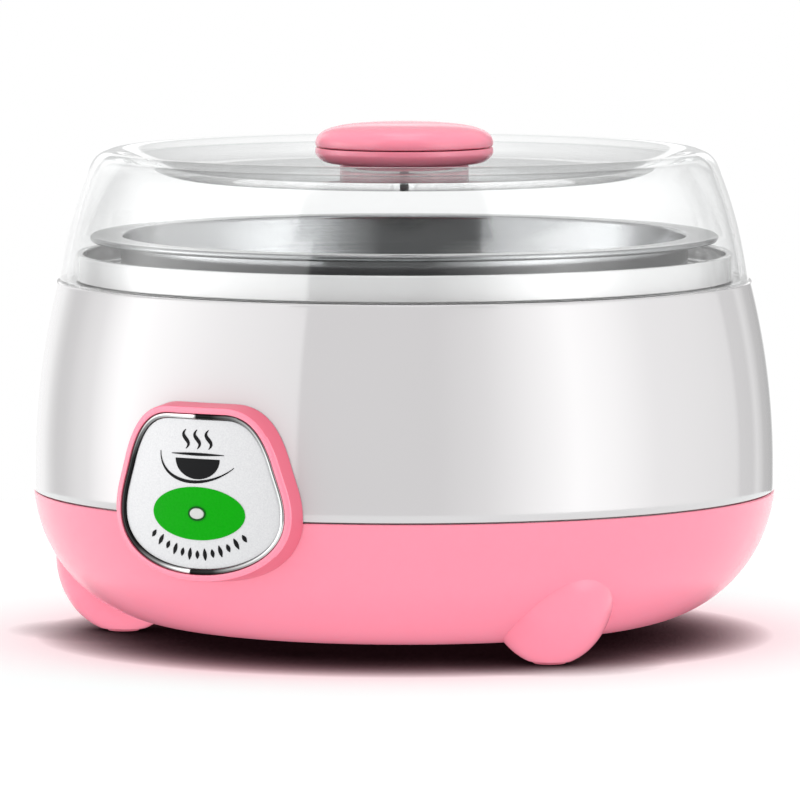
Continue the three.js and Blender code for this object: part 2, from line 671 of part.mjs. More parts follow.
function knobCap() {
  const bottom = KNOB_SPLIT + GAP / 2;
  const profile = new THREE.Path();
  profile.moveTo(0, 128.6);
  profile.lineTo(1.5, 128.6);
  profile.lineTo(1.5, KNOB_SEAT + GAP);
  profile.lineTo(5, KNOB_SEAT + GAP);
  profile.lineTo(5, 129);
  profile.quadraticCurveTo(18, 129, KNOB_RADIUS - 2.2, bottom);
  profile.lineTo(KNOB_RADIUS - 0.2, bottom);
  profile.lineTo(KNOB_RADIUS, KNOB_SPLIT + 0.9);
  profile.bezierCurveTo(22.4, KNOB_TOP - 0.7, 14, KNOB_TOP, 0, KNOB_TOP);
  return turned(profile, 3, 24);
}

function knobWasher() {
  const [top, bottom] = [LID_DISH - LID_WALL - GAP, LID_DISH - LID_WALL - GAP - 0.8];
  return turnedCorners(
    [[KNOB_BORE, bottom], [6, bottom], [6, top], [KNOB_BORE, top], [KNOB_BORE, bottom]],
    20,
  );
}

// ---------------------------------------------------------------- assembly

function piece(name, geometry, material, x = 0, y = 0, z = 0) {
  const mesh = new THREE.Mesh(geometry, material);
  mesh.name = name;
  mesh.position.set(x, y, z);
  return mesh;
}

const housing = new THREE.Group();
housing.add(
  piece("base_shell", baseShell(), pinkPlastic),
  piece("upper_shell", upperShell(), whitePlastic),
  piece("inner_liner", innerLiner(), whitePlastic),
);
FOOT_BEARINGS.forEach((bearing, i) => {
  housing.add(piece(`foot_pad_${i + 1}`, footPad(), rubber, ...atBearing(bearing, FOOT_CIRCLE)));
});
SCREW_BEARINGS.forEach((bearing, i) => {
  const place = [...atBearing(bearing, SCREW_CIRCLE), 9.9];
  housing.add(piece(`case_screw_${i + 1}`, screw(3, 1.7, 1.2, 11), zincSteel, ...place));
});

const badge = new THREE.Group();
badge.add(
  piece("badge_bezel", badgeBezel(), pinkPlastic),
  piece("badge_ring", badgeRing(), chrome),
  piece("badge_plate", badgePlate(), silverFilm),
  piece("badge_oval", badgeOval(), greenFilm),
  piece("lamp_lens", lampLens(), lensPlastic),
  piece("lamp_board", lampBoard(), boardGreen),
  piece("indicator_led", indicatorLed(), ledEpoxy, 0, -81.9, LAMP_LEVEL),
  piece("lamp_resistor", resistor(), resistorBody, 0, -83.6, 28),
);
[-BADGE_SCREW_X, BADGE_SCREW_X].forEach((x, i) => {
  const place = [x, -87.9, BADGE_SCREW_LEVEL];
  const badgeScrew = piece(`badge_screw_${i + 1}`, screw(4.2, 1.6, 0.9, 6), zincSteel, ...place);
  badgeScrew.rotation.x = Math.PI / 2;
  badge.add(badgeScrew);
});
housing.add(badge);

const heater = new THREE.Group();
heater.add(
  piece("heating_plate", heatingPlate(), aluminium),
  piece("plate_gasket", plateGasket(), silicone),
  piece("ptc_heater", ptcHeater(), aluminium),
  piece("heater_clamp", heaterClamp(), zincSteel),
  piece("thermal_fuse", thermalFuse(), brass, 0, FUSE_Y, FUSE_Z),
  piece("fuse_clip", fuseClip(), zincSteel),
  piece("fuse_clip_screw", screw(2.6, 1.6, 1, 5), zincSteel, 0, CLIP_BOSS_Y, 19.4),
);
[-CLAMP_REACH, CLAMP_REACH].forEach((x, i) => {
  heater.add(piece(`clamp_screw_${i + 1}`, screw(2.8, 1.7, 1.2, 7), zincSteel, x, 0, 15.4));
});
housing.add(heater);

const wiring = new THREE.Group();
wiring.add(
  piece("mains_inlet", mainsInlet(), blackPlastic),
  piece("inlet_pin_live", inletPin(), brass, -PIN_OFFSET, 76, INLET_LEVEL),
  piece("inlet_pin_neutral", inletPin(), brass, PIN_OFFSET, 76, INLET_LEVEL),
  piece("crimp_cap_live", crimpCap(), blackPlastic, -22, 40, 10.6),
  piece("crimp_cap_neutral", crimpCap(), blackPlastic, 22, 40, 10.6),
  piece("inlet_lead_live", wire(INLET_LEAD, 14), redInsulation),
  piece("inlet_lead_neutral", wire(mirrored(INLET_LEAD), 14), blueInsulation),
  piece("fuse_lead", wire(FUSE_LEAD, 18), redInsulation),
  piece("heater_lead_live", wire(HEATER_LEAD_LIVE, 12), redInsulation),
  piece("heater_lead_neutral", wire(HEATER_LEAD_NEUTRAL, 22), blueInsulation),
  piece("lamp_lead_live", wire(LAMP_LEAD, 26), redInsulation),
  piece("lamp_lead_neutral", wire(mirrored(LAMP_LEAD), 26), blueInsulation),
);
housing.add(wiring);

const lid = new THREE.Group();
lid.add(
  piece("outer_lid", outerLid(), clearPlastic),
  piece("knob_base", knobBase(), pinkPlastic),
  piece("knob_cap", knobCap(), pinkPlastic),
  piece("knob_washer", knobWasher(), silicone),
  piece("knob_screw", screw(3.2, 1.8, 1.2, 9.5), zincSteel, 0, 0, KNOB_SCREW_HEAD),
);

const yogurtMaker = new THREE.Group();
yogurtMaker.add(housing, lid, piece("inner_pot", innerPot(), stainless));

export default yogurtMaker;
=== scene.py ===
"""The looks of a round yogurt maker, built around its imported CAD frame.

Profiles and outlines are in millimetres and become metres as each mesh is made. The front badge
faces -Y and the housing's axis is the Z axis. Driving sizes are read from the frame.
"""

import math

import bmesh
import bpy
from mathutils import Matrix, Vector


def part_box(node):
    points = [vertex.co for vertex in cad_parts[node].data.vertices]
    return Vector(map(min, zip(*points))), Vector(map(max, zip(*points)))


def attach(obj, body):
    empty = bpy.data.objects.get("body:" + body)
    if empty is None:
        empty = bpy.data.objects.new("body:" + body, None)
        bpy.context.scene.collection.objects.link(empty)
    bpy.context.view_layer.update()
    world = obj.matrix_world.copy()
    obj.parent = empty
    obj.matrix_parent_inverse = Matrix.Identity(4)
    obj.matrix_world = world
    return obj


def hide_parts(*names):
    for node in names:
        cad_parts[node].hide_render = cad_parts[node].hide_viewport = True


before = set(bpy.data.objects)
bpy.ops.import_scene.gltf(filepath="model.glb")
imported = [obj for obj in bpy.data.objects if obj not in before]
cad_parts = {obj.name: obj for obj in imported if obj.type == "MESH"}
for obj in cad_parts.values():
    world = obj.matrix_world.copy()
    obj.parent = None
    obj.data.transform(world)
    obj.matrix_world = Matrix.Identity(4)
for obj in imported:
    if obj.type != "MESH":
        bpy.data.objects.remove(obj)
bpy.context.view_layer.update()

MM = 0.001
X, Y, Z = 0, 1, 2


def low(node, axis):
    """A CAD node's lowest coordinate in millimetres."""
    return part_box(node)[0][axis] / MM


def high(node, axis):
    """A CAD node's highest coordinate in millimetres."""
    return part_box(node)[1][axis] / MM


def halfway(node, axis):
    """The middle of a CAD node's box in millimetres."""
    return (low(node, axis) + high(node, axis)) / 2


# ---- driving sizes, millimetres

BODY_RADIUS = high("upper_shell", X)
LEDGE = high("upper_shell", Z)
SEAM_TOP = 38.2  # where the white shell starts
SEAM_BOTTOM = high("base_shell", Z)
BOWL_FLOOR = 4.4
BOWL_FLAT = 60.0  # radius of the base's flat floor
BOWL_EQUATOR = 41.0  # height of its widest part
SHELL_UPRIGHT = 44.0  # height from which the shell leans in, along an arc
SHELL_ARC = 190.0
WALL = 2.3

COLLAR_RADIUS = high("inner_liner", X)
COLLAR_TOP = high("inner_liner", Z)
POT_RIM = high("inner_pot", X)
POT_TOP = high("inner_pot", Z)
POT_BOTTOM = low("inner_pot", Z)
LID_RADIUS = high("outer_lid", X)
LID_BOTTOM = low("outer_lid", Z)
LID_TOP = high("outer_lid", Z)
LID_DISH = 119.2
KNOB_RADIUS = high("knob_cap", X)
KNOB_TOP = high("knob_cap", Z)
KNOB_FLOOR = 1.9
KNOB_GAP = 0.3
PLATE_TOP = high("heating_plate", Z)

FOOT_CIRCLE = 73.0
FOOT_LEVEL = 19.6
FOOT_HALF_SIZES = (16.0, 17.4, 20.2)  # along the circle, outwards and upwards
FOOT_BEARINGS = (61.0, -66.0, 180.0)
CASE_SCREW_CIRCLE = 52.0
CASE_SCREW_BEARINGS = (0, 120, -120)
CLAMP_SCREWS = (-42, 42)  # x of the screws through the heater's strip
CLIP_SCREW = 42  # y of the screw through the fuse's clip
BADGE_SCREWS = (-15, 15)  # x of the screws into the badge's bosses
BADGE_SCREW_LEVEL = 54
BADGE_CENTRE = 43.0
BADGE_RADIUS = -low("badge_bezel", Y)
BADGE_BACK = 97.6  # radii from the housing's axis
PLATE_FACE = 98.6
FILM_BACK = 98.62
RING_FACE = 99.25
LAMP_LEVEL = halfway("lamp_lens", Z)
INLET_LEVEL = halfway("mains_inlet", Z)
PIN_OFFSET = 4.3

FINE = 192  # segments around the large shells
ROUND = 128
MEDIUM = 64
SMALL = 32
CREASE = 32  # the sharpest edge, in degrees, that is shaded smooth


# ---- outlines


def rounded(corners, closed=True, steps=5):
    """An outline through corners (a, b) or (a, b, cut), whose rounding starts cut away from the corner."""
    points = []
    for i, (a, b, *cut) in enumerate(corners):
        corner = Vector((a, b))
        at_end = not closed and i in (0, len(corners) - 1)
        if not cut or at_end:
            points.append(corner)
            continue
        back = Vector(corners[i - 1][:2]) - corner
        ahead = Vector(corners[(i + 1) % len(corners)][:2]) - corner
        start = corner + back.normalized() * min(cut[0], back.length * 0.5)
        end = corner + ahead.normalized() * min(cut[0], ahead.length * 0.5)
        for step in range(steps + 1):
            t = step / steps
            points.append(start * (1 - t) ** 2 + corner * 2 * t * (1 - t) + end * t * t)
    return points


def spread(start, end, steps):
    """Evenly spaced values from start to end."""
    return [start + (end - start) * step / steps for step in range(steps + 1)]


def arc(centre, radii, start, end, steps):
    """Points on an ellipse's arc between two angles in degrees."""
    angles = [math.radians(angle) for angle in spread(start, end, steps)]
    return [Vector((centre[0] + radii[0] * math.cos(a), centre[1] + radii[1] * math.sin(a))) for a in angles]


def bezier(controls, steps):
    """Points on a quadratic or cubic Bezier curve."""
    points = []
    for step in range(steps + 1):
        t = step / steps
        level = [Vector(c) for c in controls]
        while len(level) > 1:
            level = [a.lerp(b, t) for a, b in zip(level, level[1:])]
        points.append(level[0])
    return points


def housing_radius(height):
    """The housing's outer radius at a height."""
    if height < BOWL_EQUATOR:
        sunk = (BOWL_EQUATOR - height) / (BOWL_EQUATOR - BOWL_FLOOR)
        return BOWL_FLAT + (BODY_RADIUS - BOWL_FLAT) * math.sqrt(max(0.0, 1 - sunk * sunk))
    if height < SHELL_UPRIGHT:
        return BODY_RADIUS
    return BODY_RADIUS - SHELL_ARC + math.sqrt(SHELL_ARC**2 - (height - SHELL_UPRIGHT) ** 2)


# ---- mesh making


def make_object(name, bm, crease=CREASE):
    """Turns a bmesh in millimetres into an object in metres, smooth but for edges above the crease angle."""
    bmesh.ops.remove_doubles(bm, verts=bm.verts, dist=1e-5)
    bmesh.ops.recalc_face_normals(bm, faces=bm.faces)
    bmesh.ops.scale(bm, vec=(MM, MM, MM), verts=bm.verts)
    mesh = bpy.data.meshes.new(name)
    bm.to_mesh(mesh)
    bm.free()
    piece = bpy.data.objects.new(name, mesh)
    bpy.context.scene.collection.objects.link(piece)
    soften(piece, crease)
    return piece


def soften(piece, crease=CREASE):
    piece.data.polygons.foreach_set("use_smooth", [True] * len(piece.data.polygons))
    piece.data.set_sharp_from_angle(angle=math.radians(crease))


def skin(bm, rings, closed=False):
    """Joins rings of vertices, one vertex where a ring has shrunk to a point, with faces."""
    pairs = list(zip(rings, rings[1:]))
    if closed:
        pairs.append((rings[-1], rings[0]))
    for first, second in pairs:
        count = max(len(first), len(second))
        for i in range(count):
            j = (i + 1) % count
            corners = [
                first[i % len(first)],
                first[j % len(first)],
                second[j % len(second)],
                second[i % len(second)],
            ]
            unique = list(dict.fromkeys(corners))
            if len(unique) > 2:
                bm.faces.new(unique)


def lathe(name, profile, segments=FINE, crease=CREASE):
    """Turns (radius, height) points about Z: a loop, or a line that starts on the axis."""
    bm = bmesh.new()
    rings = []
    for radius, height in profile:
        if radius < 1e-6:
            rings.append([bm.verts.new((0, 0, height))])
            continue
        ring = []
        for i in range(segments):
            angle = 2 * math.pi * i / segments
            ring.append(bm.verts.new((radius * math.cos(angle), radius * math.sin(angle), height)))
        rings.append(ring)
    skin(bm, rings, closed=profile[0][0] > 1e-6)
    return make_object(name, bm, crease)


def prism(name, outline, near, far):
    """A straight prism along Y from an outline of (x, z) points."""
    bm = bmesh.new()
    rings = [[bm.verts.new((x, y, z)) for x, z in outline] for y in (near, far)]
    skin(bm, rings)
    for ring in rings:
        bm.faces.new(ring)
    return make_object(name, bm)


def place(piece, x=0.0, y=0.0, z=0.0, turn=None):
    """Moves a piece's mesh, in millimetres, after an optional turn of its Z axis to an axis such as '-Y'."""
    shift = Vector((x * MM, y * MM, z * MM))
    if turn:
        direction = {"-Y": (0, -1, 0), "+Y": (0, 1, 0), "+X": (1, 0, 0)}[turn]
        quaternion = Vector((0, 0, 1)).rotation_difference(Vector(direction))
        piece.data.transform(quaternion.to_matrix().to_4x4())
    for vertex in piece.data.vertices:
        vertex.co += shift
    return piece


def spin(piece, degrees):
    """Turns a piece's mesh about the Z axis."""
    piece.data.transform(Matrix.Rotation(math.radians(degrees), 4, "Z"))
    return piece


def apply_modifiers(piece):
    depsgraph = bpy.context.evaluated_depsgraph_get()
    finished = bpy.data.meshes.new_from_object(piece.evaluated_get(depsgraph))
    piece.modifiers.clear()
    piece.data = finished
    return piece


def bevelled(piece, width):
    edge = piece.modifiers.new("edge", "BEVEL")
    edge.width = width * MM
    edge.segments = 3
    return apply_modifiers(piece)


def combine(piece, operation, *tools):
    """Cuts tools from a piece ('DIFFERENCE') or joins them on ('UNION'), and removes them."""
    for tool in tools:
        modifier = piece.modifiers.new("combine", "BOOLEAN")
        modifier.operation = operation
        modifier.solver = "MANIFOLD"
        modifier.object = tool
        apply_modifiers(piece)
        bpy.data.objects.remove(tool)
    soften(piece)
    return piece


def rod(radius, start, end, turn=None, x=0.0, y=0.0, z=0.0, segments=SMALL):
    """A plain round tool for cutting and joining, from start to end along its axis."""
    profile = [(0, start), (radius, start), (radius, end), (0, end)]
    return place(lathe("tool", profile, segments), x, y, z, turn)


def box_tool(x0, x1, y0, y1, z0, z1):
    return prism("tool", [(x0, z0), (x1, z0), (x1, z1), (x0, z1)], y0, y1)


def at_bearing(bearing, radius):
    """x and y at a bearing in degrees counted from the badge."""
    angle = math.radians(bearing)
    return radius * math.sin(angle), -radius * math.cos(angle)


def at_case_screws(radius, start, end):
    """Round tools on the axes of the three case screws."""
    return [rod(radius, start, end, None, *at_bearing(b, CASE_SCREW_CIRCLE)) for b in CASE_SCREW_BEARINGS]


def at_clamp_screws(radius, start, end):
    """Round tools on the axes of the two screws through the heater's strip."""
    return [rod(radius, start, end, x=x) for x in CLAMP_SCREWS]


def at_badge_screws(radius, start, end, segments=SMALL):
    """Round tools on the axes of the two screws into the badge."""
    return [rod(radius, start, end, "-Y", x=x, z=BADGE_SCREW_LEVEL, segments=segments) for x in BADGE_SCREWS]


def at_lamp(radius, start, end):
    """A round tool on the lamp's axis."""
    return rod(radius, start, end, "-Y", z=LAMP_LEVEL)


def finish(piece, material, body, slot, *nodes):
    """Gives a finished piece its material and its body, and hides the CAD nodes it stands for. The slot
    argument is not used.
    """
    piece.data.materials.clear()
    piece.data.materials.append(material)
    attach(piece, body)
    if nodes:
        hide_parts(*nodes)
    return piece


# ---- materials


def fill_ramp(ramp, stops):
    """Gives a colour ramp its (position, grey level) stops."""
    elements = ramp.color_ramp.elements
    elements.remove(elements[1])
    for i, (position, level) in enumerate(stops):
        element = elements[0] if i == 0 else elements.new(position)
        element.position = position
        element.color = (level, level, level, 1)


class Shader:
    """A material under construction: its Principled shader and the nodes around it."""

    def __init__(self, name, color, roughness, metallic=0.0, **sockets):
        self.material = bpy.data.materials.new(name)
        self.material.use_nodes = True
        self.tree = self.material.node_tree
        self.shader = self.tree.nodes["Principled BSDF"]
        self.set("Base Color", (*color, 1.0))
        self.set("Roughness", roughness)
        self.set("Metallic", metallic)
        for socket, value in sockets.items():
            self.set(socket.replace("_", " "), value)

    def set(self, socket, value):
        self.shader.inputs[socket].default_value = value

    def node(self, kind, inputs=None, **settings):
        """Adds a node, its inputs given as values or as other nodes' outputs."""
        node = self.tree.nodes.new("ShaderNode" + kind)
        for setting, value in settings.items():
            setattr(node, setting, value)
        for socket, value in (inputs or {}).items():
            if hasattr(value, "is_output"):
                self.tree.links.new(value, node.inputs[socket])
            else:
                node.inputs[socket].default_value = value
        return node

    def link(self, output, socket):
        self.tree.links.new(output, self.shader.inputs[socket])

    def noise(self, scale, detail=2.0, vector=None):
        """Noise from 0 to 1; scale is in features per metre."""
        vector = vector or self.node("TexCoord").outputs["Object"]
        inputs = {"Vector": vector, "Scale": scale, "Detail": detail}
        return self.node("TexNoise", inputs).outputs["Fac"]

    def vary(self, socket, field, least, most):
        """Varies a numeric socket between two values with a field."""
        inputs = {"Value": field, "From Min": 0.3, "From Max": 0.7, "To Min": least, "To Max": most}
        self.link(self.node("MapRange", inputs).outputs["Result"], socket)

    def tint(self, field, first, second):
        """Varies the base colour between two colours with a field."""
        ramp = self.node("ValToRGB", {"Fac": field})
        ramp.color_ramp.elements[0].position = 0.3
        ramp.color_ramp.elements[0].color = (*first, 1.0)
        ramp.color_ramp.elements[1].position = 0.7
        ramp.color_ramp.elements[1].color = (*second, 1.0)
        self.link(ramp.outputs["Color"], "Base Color")

    def bump(self, field, height, strength=1.0):
        """Raises the surface by a field; height is in metres."""
        inputs = {"Height": field, "Distance": height, "Strength": strength}
        self.link(self.node("Bump", inputs).outputs["Normal"], "Normal")

    def turned_lines(self, lines_per_metre):
        """A field of fine circles around the Z axis, as spinning or turning leaves them."""
        coordinates = self.node("TexCoord").outputs["Object"]
        flat = self.node("VectorMath", {0: coordinates, 1: (1, 1, 0)}, operation="MULTIPLY")
        reach = self.node("VectorMath", {0: flat.outputs[0]}, operation="LENGTH")
        height = self.node("SeparateXYZ", {0: coordinates})
        joined = {"X": reach.outputs["Value"], "Y": height.outputs["Z"]}
        vector = self.node("CombineXYZ", joined).outputs[0]
        return self.noise(lines_per_metre, 3.0, vector)


def srgb(*levels):
    """A colour given as 0 to 255 display levels, as linear light."""
    shares = [level / 255 for level in levels]
    return tuple(c / 12.92 if c <= 0.04045 else ((c + 0.055) / 1.055) ** 2.4 for c in shares)


def scaled(color, factor):
    """A colour made lighter or darker, no lighter than white."""
    return tuple(min(1.0, c * factor) for c in color)


def moulded(name, color, roughness, grain=0.00001, **sockets):
    """Glossy moulded plastic: slow colour drift, slightly uneven gloss and a faint orange peel."""
    made = Shader(name, color, roughness, **sockets)
    made.tint(made.noise(14.0), scaled(color, 0.985), scaled(color, 1.015))
    made.vary("Roughness", made.noise(60.0), roughness * 0.85, roughness * 1.15)
    made.bump(made.noise(420.0, 1.0), grain, 0.35)
    return made.material


def pink_plastic():
    return moulded(
        "pink_plastic", srgb(254, 143, 165), 0.2,
        IOR=1.4, Coat_Weight=0.25, Coat_Roughness=0.06, Subsurface_Weight=0.25,
        Subsurface_Radius=(0.004, 0.0015, 0.0015), Subsurface_Scale=0.6,
    )


def white_plastic(name, *levels):
    coat = {"Coat_Weight": 1.0, "Coat_Roughness": 0.03, "Coat_IOR": 1.6}
    return moulded(name, srgb(*levels), 0.09, IOR=1.62, **coat)


def clear_plastic():
    made = Shader(
        "clear_plastic", (0.985, 0.99, 0.99), 0.015,
        IOR=1.002, Transmission_Weight=1.0, Coat_Weight=1.0, Coat_Roughness=0.015, Coat_IOR=1.5,
    )
    made.bump(made.noise(55.0, 1.0), 0.00002, 0.2)
    return made.material


def stainless():
    made = Shader("stainless_steel", (0.28, 0.285, 0.29), 0.12, 1.0, Anisotropic=0.25)
    lines = made.turned_lines(2000.0)
    made.vary("Roughness", lines, 0.08, 0.15)
    made.tint(lines, (0.25, 0.255, 0.26), (0.31, 0.315, 0.32))
    made.bump(lines, 0.000006, 0.3)
    tangent = made.node("Tangent", direction_type="RADIAL", axis="Z")
    made.link(tangent.outputs["Tangent"], "Tangent")
    return made.material


# The bright ring's painted reflections: grey levels of its base colour around the badge's centre, by angle
# in degrees from the right.
RING_PAINTED_REFLECTIONS = [
    (0, 0.75), (30, 0.6), (50, 0.35), (65, 0.1), (78, 0.01), (91, 0.01), (92, 0.9), (105, 0.75), (120, 0.4),
    (140, 0.12), (155, 0.02), (215, 0.02), (235, 0.15), (250, 0.5), (263, 0.9), (264, 0.01), (285, 0.02),
    (305, 0.3), (330, 0.6), (360, 0.75),
]


def chrome():
    """Bright trim whose base colour carries painted reflections, dark and light around the badge."""
    made = Shader("chrome_trim", (0.86, 0.87, 0.88), 0.08, 1.0)
    made.vary("Roughness", made.noise(900.0), 0.05, 0.12)
    parts = made.node("SeparateXYZ", {0: made.node("TexCoord").outputs["Object"]})
    rise = made.node("Math", {0: parts.outputs["Z"], 1: BADGE_CENTRE * MM}, operation="SUBTRACT")
    inputs = {0: rise.outputs[0], 1: parts.outputs["X"]}
    angle = made.node("Math", inputs, operation="ARCTAN2").outputs[0]
    turn = made.node("Math", {0: angle, 1: 2 * math.pi}, operation="DIVIDE").outputs[0]
    share = made.node("Math", {0: turn, 1: 1.0}, operation="WRAP")
    share.inputs[2].default_value = 0.0
    # Painted reflections: the ring's base colour follows these levels by angle.
    ramp = made.node("ValToRGB", {"Fac": share.outputs[0]})
    fill_ramp(ramp, [(degrees / 360, shade) for degrees, shade in RING_PAINTED_REFLECTIONS])
    made.link(ramp.outputs["Color"], "Base Color")
    return made.material


def silver_film():
    made = Shader("silver_film", srgb(206, 206, 208), 0.3, 0.2, IOR=1.3)
    made.tint(made.noise(2600.0, 4.0), srgb(200, 200, 202), srgb(212, 212, 213))
    made.bump(made.noise(1500.0), 0.000006, 0.3)
    return made.material


def printed(name, color, roughness=0.3):
    made = Shader(name, color, roughness, IOR=1.18)
    made.tint(made.noise(900.0, 3.0), scaled(color, 0.95), color)
    made.vary("Roughness", made.noise(1400.0), roughness * 0.8, roughness * 1.2)
    return made.material


def soft_rubber(name, color):
    made = Shader(name, color, 0.7)
    made.tint(made.noise(500.0, 4.0), scaled(color, 0.88), color)
    made.vary("Roughness", made.noise(1200.0), 0.6, 0.85)
    made.bump(made.noise(3500.0, 3.0), 0.00003, 0.5)
    return made.material


def turned_metal(name, color, roughness):
    made = Shader(name, color, roughness, 1.0, Anisotropic=0.3)
    lines = made.turned_lines(2600.0)
    made.vary("Roughness", lines, roughness * 0.7, roughness * 1.3)
    made.tint(lines, scaled(color, 0.86), color)
    made.bump(lines, 0.00002, 0.5)
    return made.material


def plated_metal(name, color, roughness=0.32):
    made = Shader(name, color, roughness, 1.0)
    made.tint(made.noise(700.0, 4.0), scaled(color, 0.85), color)
    made.vary("Roughness", made.noise(1600.0, 3.0), roughness * 0.75, roughness * 1.35)
    made.bump(made.noise(5200.0), 0.000008, 0.4)
    return made.material


def satin_plastic(name, color, roughness=0.42):
    made = Shader(name, color, roughness)
    made.tint(made.noise(300.0, 3.0), scaled(color, 0.85), scaled(color, 1.12))
    made.vary("Roughness", made.noise(1500.0), roughness * 0.85, roughness * 1.2)
    made.bump(made.noise(6500.0, 2.0), 0.000025, 0.5)
    return made.material


PINK = pink_plastic()
# A darker, rougher copy of the pink for the badge surround's sides: satin, with painted shade in its colour.
PINK_SIDE_PAINTED_SHADE = moulded("pink_satin_side_painted_shade", srgb(226, 110, 131), 0.35, 0.00002, IOR=1.35)
WHITE = white_plastic("white_plastic", 198, 196, 197)
LINER_WHITE = white_plastic("white_liner_plastic", 222, 221, 221)
CLEAR = clear_plastic()
STEEL = stainless()
CHROME = chrome()
SILVER = silver_film()
GREEN = printed("green_print", srgb(0, 160, 0), 0.28)
DARK_GREEN = printed("dark_green_print", srgb(8, 84, 20), 0.28)
BLACK_INK = printed("black_print", srgb(16, 16, 18), 0.35)
LENS = printed("lamp_window", srgb(208, 210, 207), 0.15)
RUBBER = soft_rubber("foot_rubber", srgb(190, 92, 110))
SILICONE = soft_rubber("white_silicone", srgb(236, 230, 222))
ALUMINIUM = turned_metal("turned_aluminium", (0.78, 0.79, 0.8), 0.3)
CAST_ALUMINIUM = plated_metal("extruded_aluminium", (0.72, 0.73, 0.74), 0.4)
ZINC = plated_metal("zinc_plate", (0.62, 0.63, 0.65))
BRASS = plated_metal("brass_contacts", (0.83, 0.64, 0.33), 0.25)
BLACK = satin_plastic("black_plastic", srgb(30, 30, 31))
BOARD = satin_plastic("circuit_board", srgb(34, 92, 48), 0.35)
RESISTOR = satin_plastic("resistor_lacquer", srgb(196, 168, 120), 0.3)
LED = printed("green_epoxy", srgb(120, 205, 110), 0.12)
RED = satin_plastic("red_insulation", srgb(176, 34, 40), 0.4)
BLUE = satin_plastic("blue_insulation", srgb(40, 82, 168), 0.4)


# ---- housing


def feet(wall):
    """The three rounded feet as separate tools, smaller by a wall thickness."""
    made = []
    for bearing in FOOT_BEARINGS:
        half_ball = arc((0, 0), (1, 1), -90, 90, 40)
        half_ball[0].x = half_ball[-1].x = 0.0
        foot = lathe("tool", half_ball, 80)
        foot.data.transform(Matrix.Diagonal([size - wall for size in FOOT_HALF_SIZES]).to_4x4())
        made.append(place(spin(foot, bearing), *at_bearing(bearing, FOOT_CIRCLE), FOOT_LEVEL))
    return made


def rounded_rectangle(width, height, corner, level):
    x, bottom, top = width / 2, level - height / 2, level + height / 2
    return rounded([(-x, bottom, corner), (x, bottom, corner), (x, top, corner), (-x, top, corner)], steps=8)


def bowl_side(wall, start, end, steps):
    """The bowl's side, drawn in by a wall thickness, between two angles in degrees."""
    radii = (BODY_RADIUS - BOWL_FLAT - wall, BOWL_EQUATOR - (BOWL_FLOOR + wall))
    return arc((BOWL_FLAT, BOWL_EQUATOR), radii, start, end, steps)


def bowl_profile():
    outside = bowl_side(0, -90, -6, 48)
    inside = bowl_side(WALL, -6.5, -90, 32)
    cut = 0.3
    top = [
        (housing_radius(SEAM_BOTTOM - cut), SEAM_BOTTOM - cut),
        (housing_radius(SEAM_BOTTOM) - cut, SEAM_BOTTOM),
        (inside[0].x + cut, SEAM_BOTTOM),
        (inside[0].x, SEAM_BOTTOM - cut),
    ]
    return [(0, BOWL_FLOOR), *outside, *top, *inside, (0, BOWL_FLOOR + WALL)]


def pink_base():
    base = lathe("pink_base", bowl_profile())
    boss_front = high("base_shell", Y)
    boss = prism("tool", rounded_rectangle(27, 16.4, 3.5, INLET_LEVEL), 70, boss_front)
    combine(base, "UNION", *feet(0), bevelled(boss, 0.6))
    inside = lathe("tool", [(0, BOWL_FLOOR + WALL), *bowl_side(WALL, -90, -6.5, 32), (92.52, 60), (0, 60)])
    hollow = prism("tool", rounded_rectangle(23, 12.6, 2, INLET_LEVEL), 60, boss_front - WALL)
    window = prism("tool", rounded_rectangle(19.6, 12.1, 2.6, INLET_LEVEL), 90, 110)
    combine(base, "DIFFERENCE", inside, hollow, window, *feet(2.6))
    combine(base, "DIFFERENCE", box_tool(-200, 200, -200, 200, -20, 0.6))
    combine(base, "UNION", *at_case_screws(4.6, 6, 15.9))
    wells = at_case_screws(3.5, -1, 11.9)
    holes = at_case_screws(1.7, 11, 20)
    seats = [rod(4.5, -1, 1.5, None, *at_bearing(b, FOOT_CIRCLE)) for b in FOOT_BEARINGS]
    combine(base, "DIFFERENCE", *wells, *holes, *seats, at_lamp(3.6, 86, 110))
    finish(base, PINK, "housing", "pink_plastic", "base_shell")


def white_shell():
    outside = [(housing_radius(z), z) for z in spread(SEAM_TOP + 0.35, LEDGE - 0.8, 60)]
    inside = [(housing_radius(z) - WALL, z) for z in spread(LEDGE - 2.6, SHELL_UPRIGHT, 24)]
    opening = 80.3
    rim_corners = [
        outside[-1], (housing_radius(LEDGE), LEDGE, 0.7), (opening, LEDGE, 0.5), (opening, LEDGE - 2.2, 0.4),
        inside[0],
    ]
    # The foot's tongue stands inside the base's mouth.
    tongue, tongue_end = (90.3, 91.8), 35.4
    foot_corners = [
        inside[-1], (tongue[0], 40.6), (tongue[0], tongue_end, 0.4), (tongue[1], tongue_end, 0.4),
        (tongue[1], SEAM_TOP), (housing_radius(SEAM_TOP), SEAM_TOP, 0.35), outside[0],
    ]
    rim = rounded(rim_corners, closed=False)
    foot = rounded(foot_corners, closed=False)
    shell = lathe("white_shell", [*outside[:-1], *rim, *inside[1:-1], *foot[:-1]])
    combine(shell, "DIFFERENCE", at_lamp(3.6, 86, 110), *at_badge_screws(3.1, 86, 110))
    finish(shell, WHITE, "housing", "white_plastic", "upper_shell")


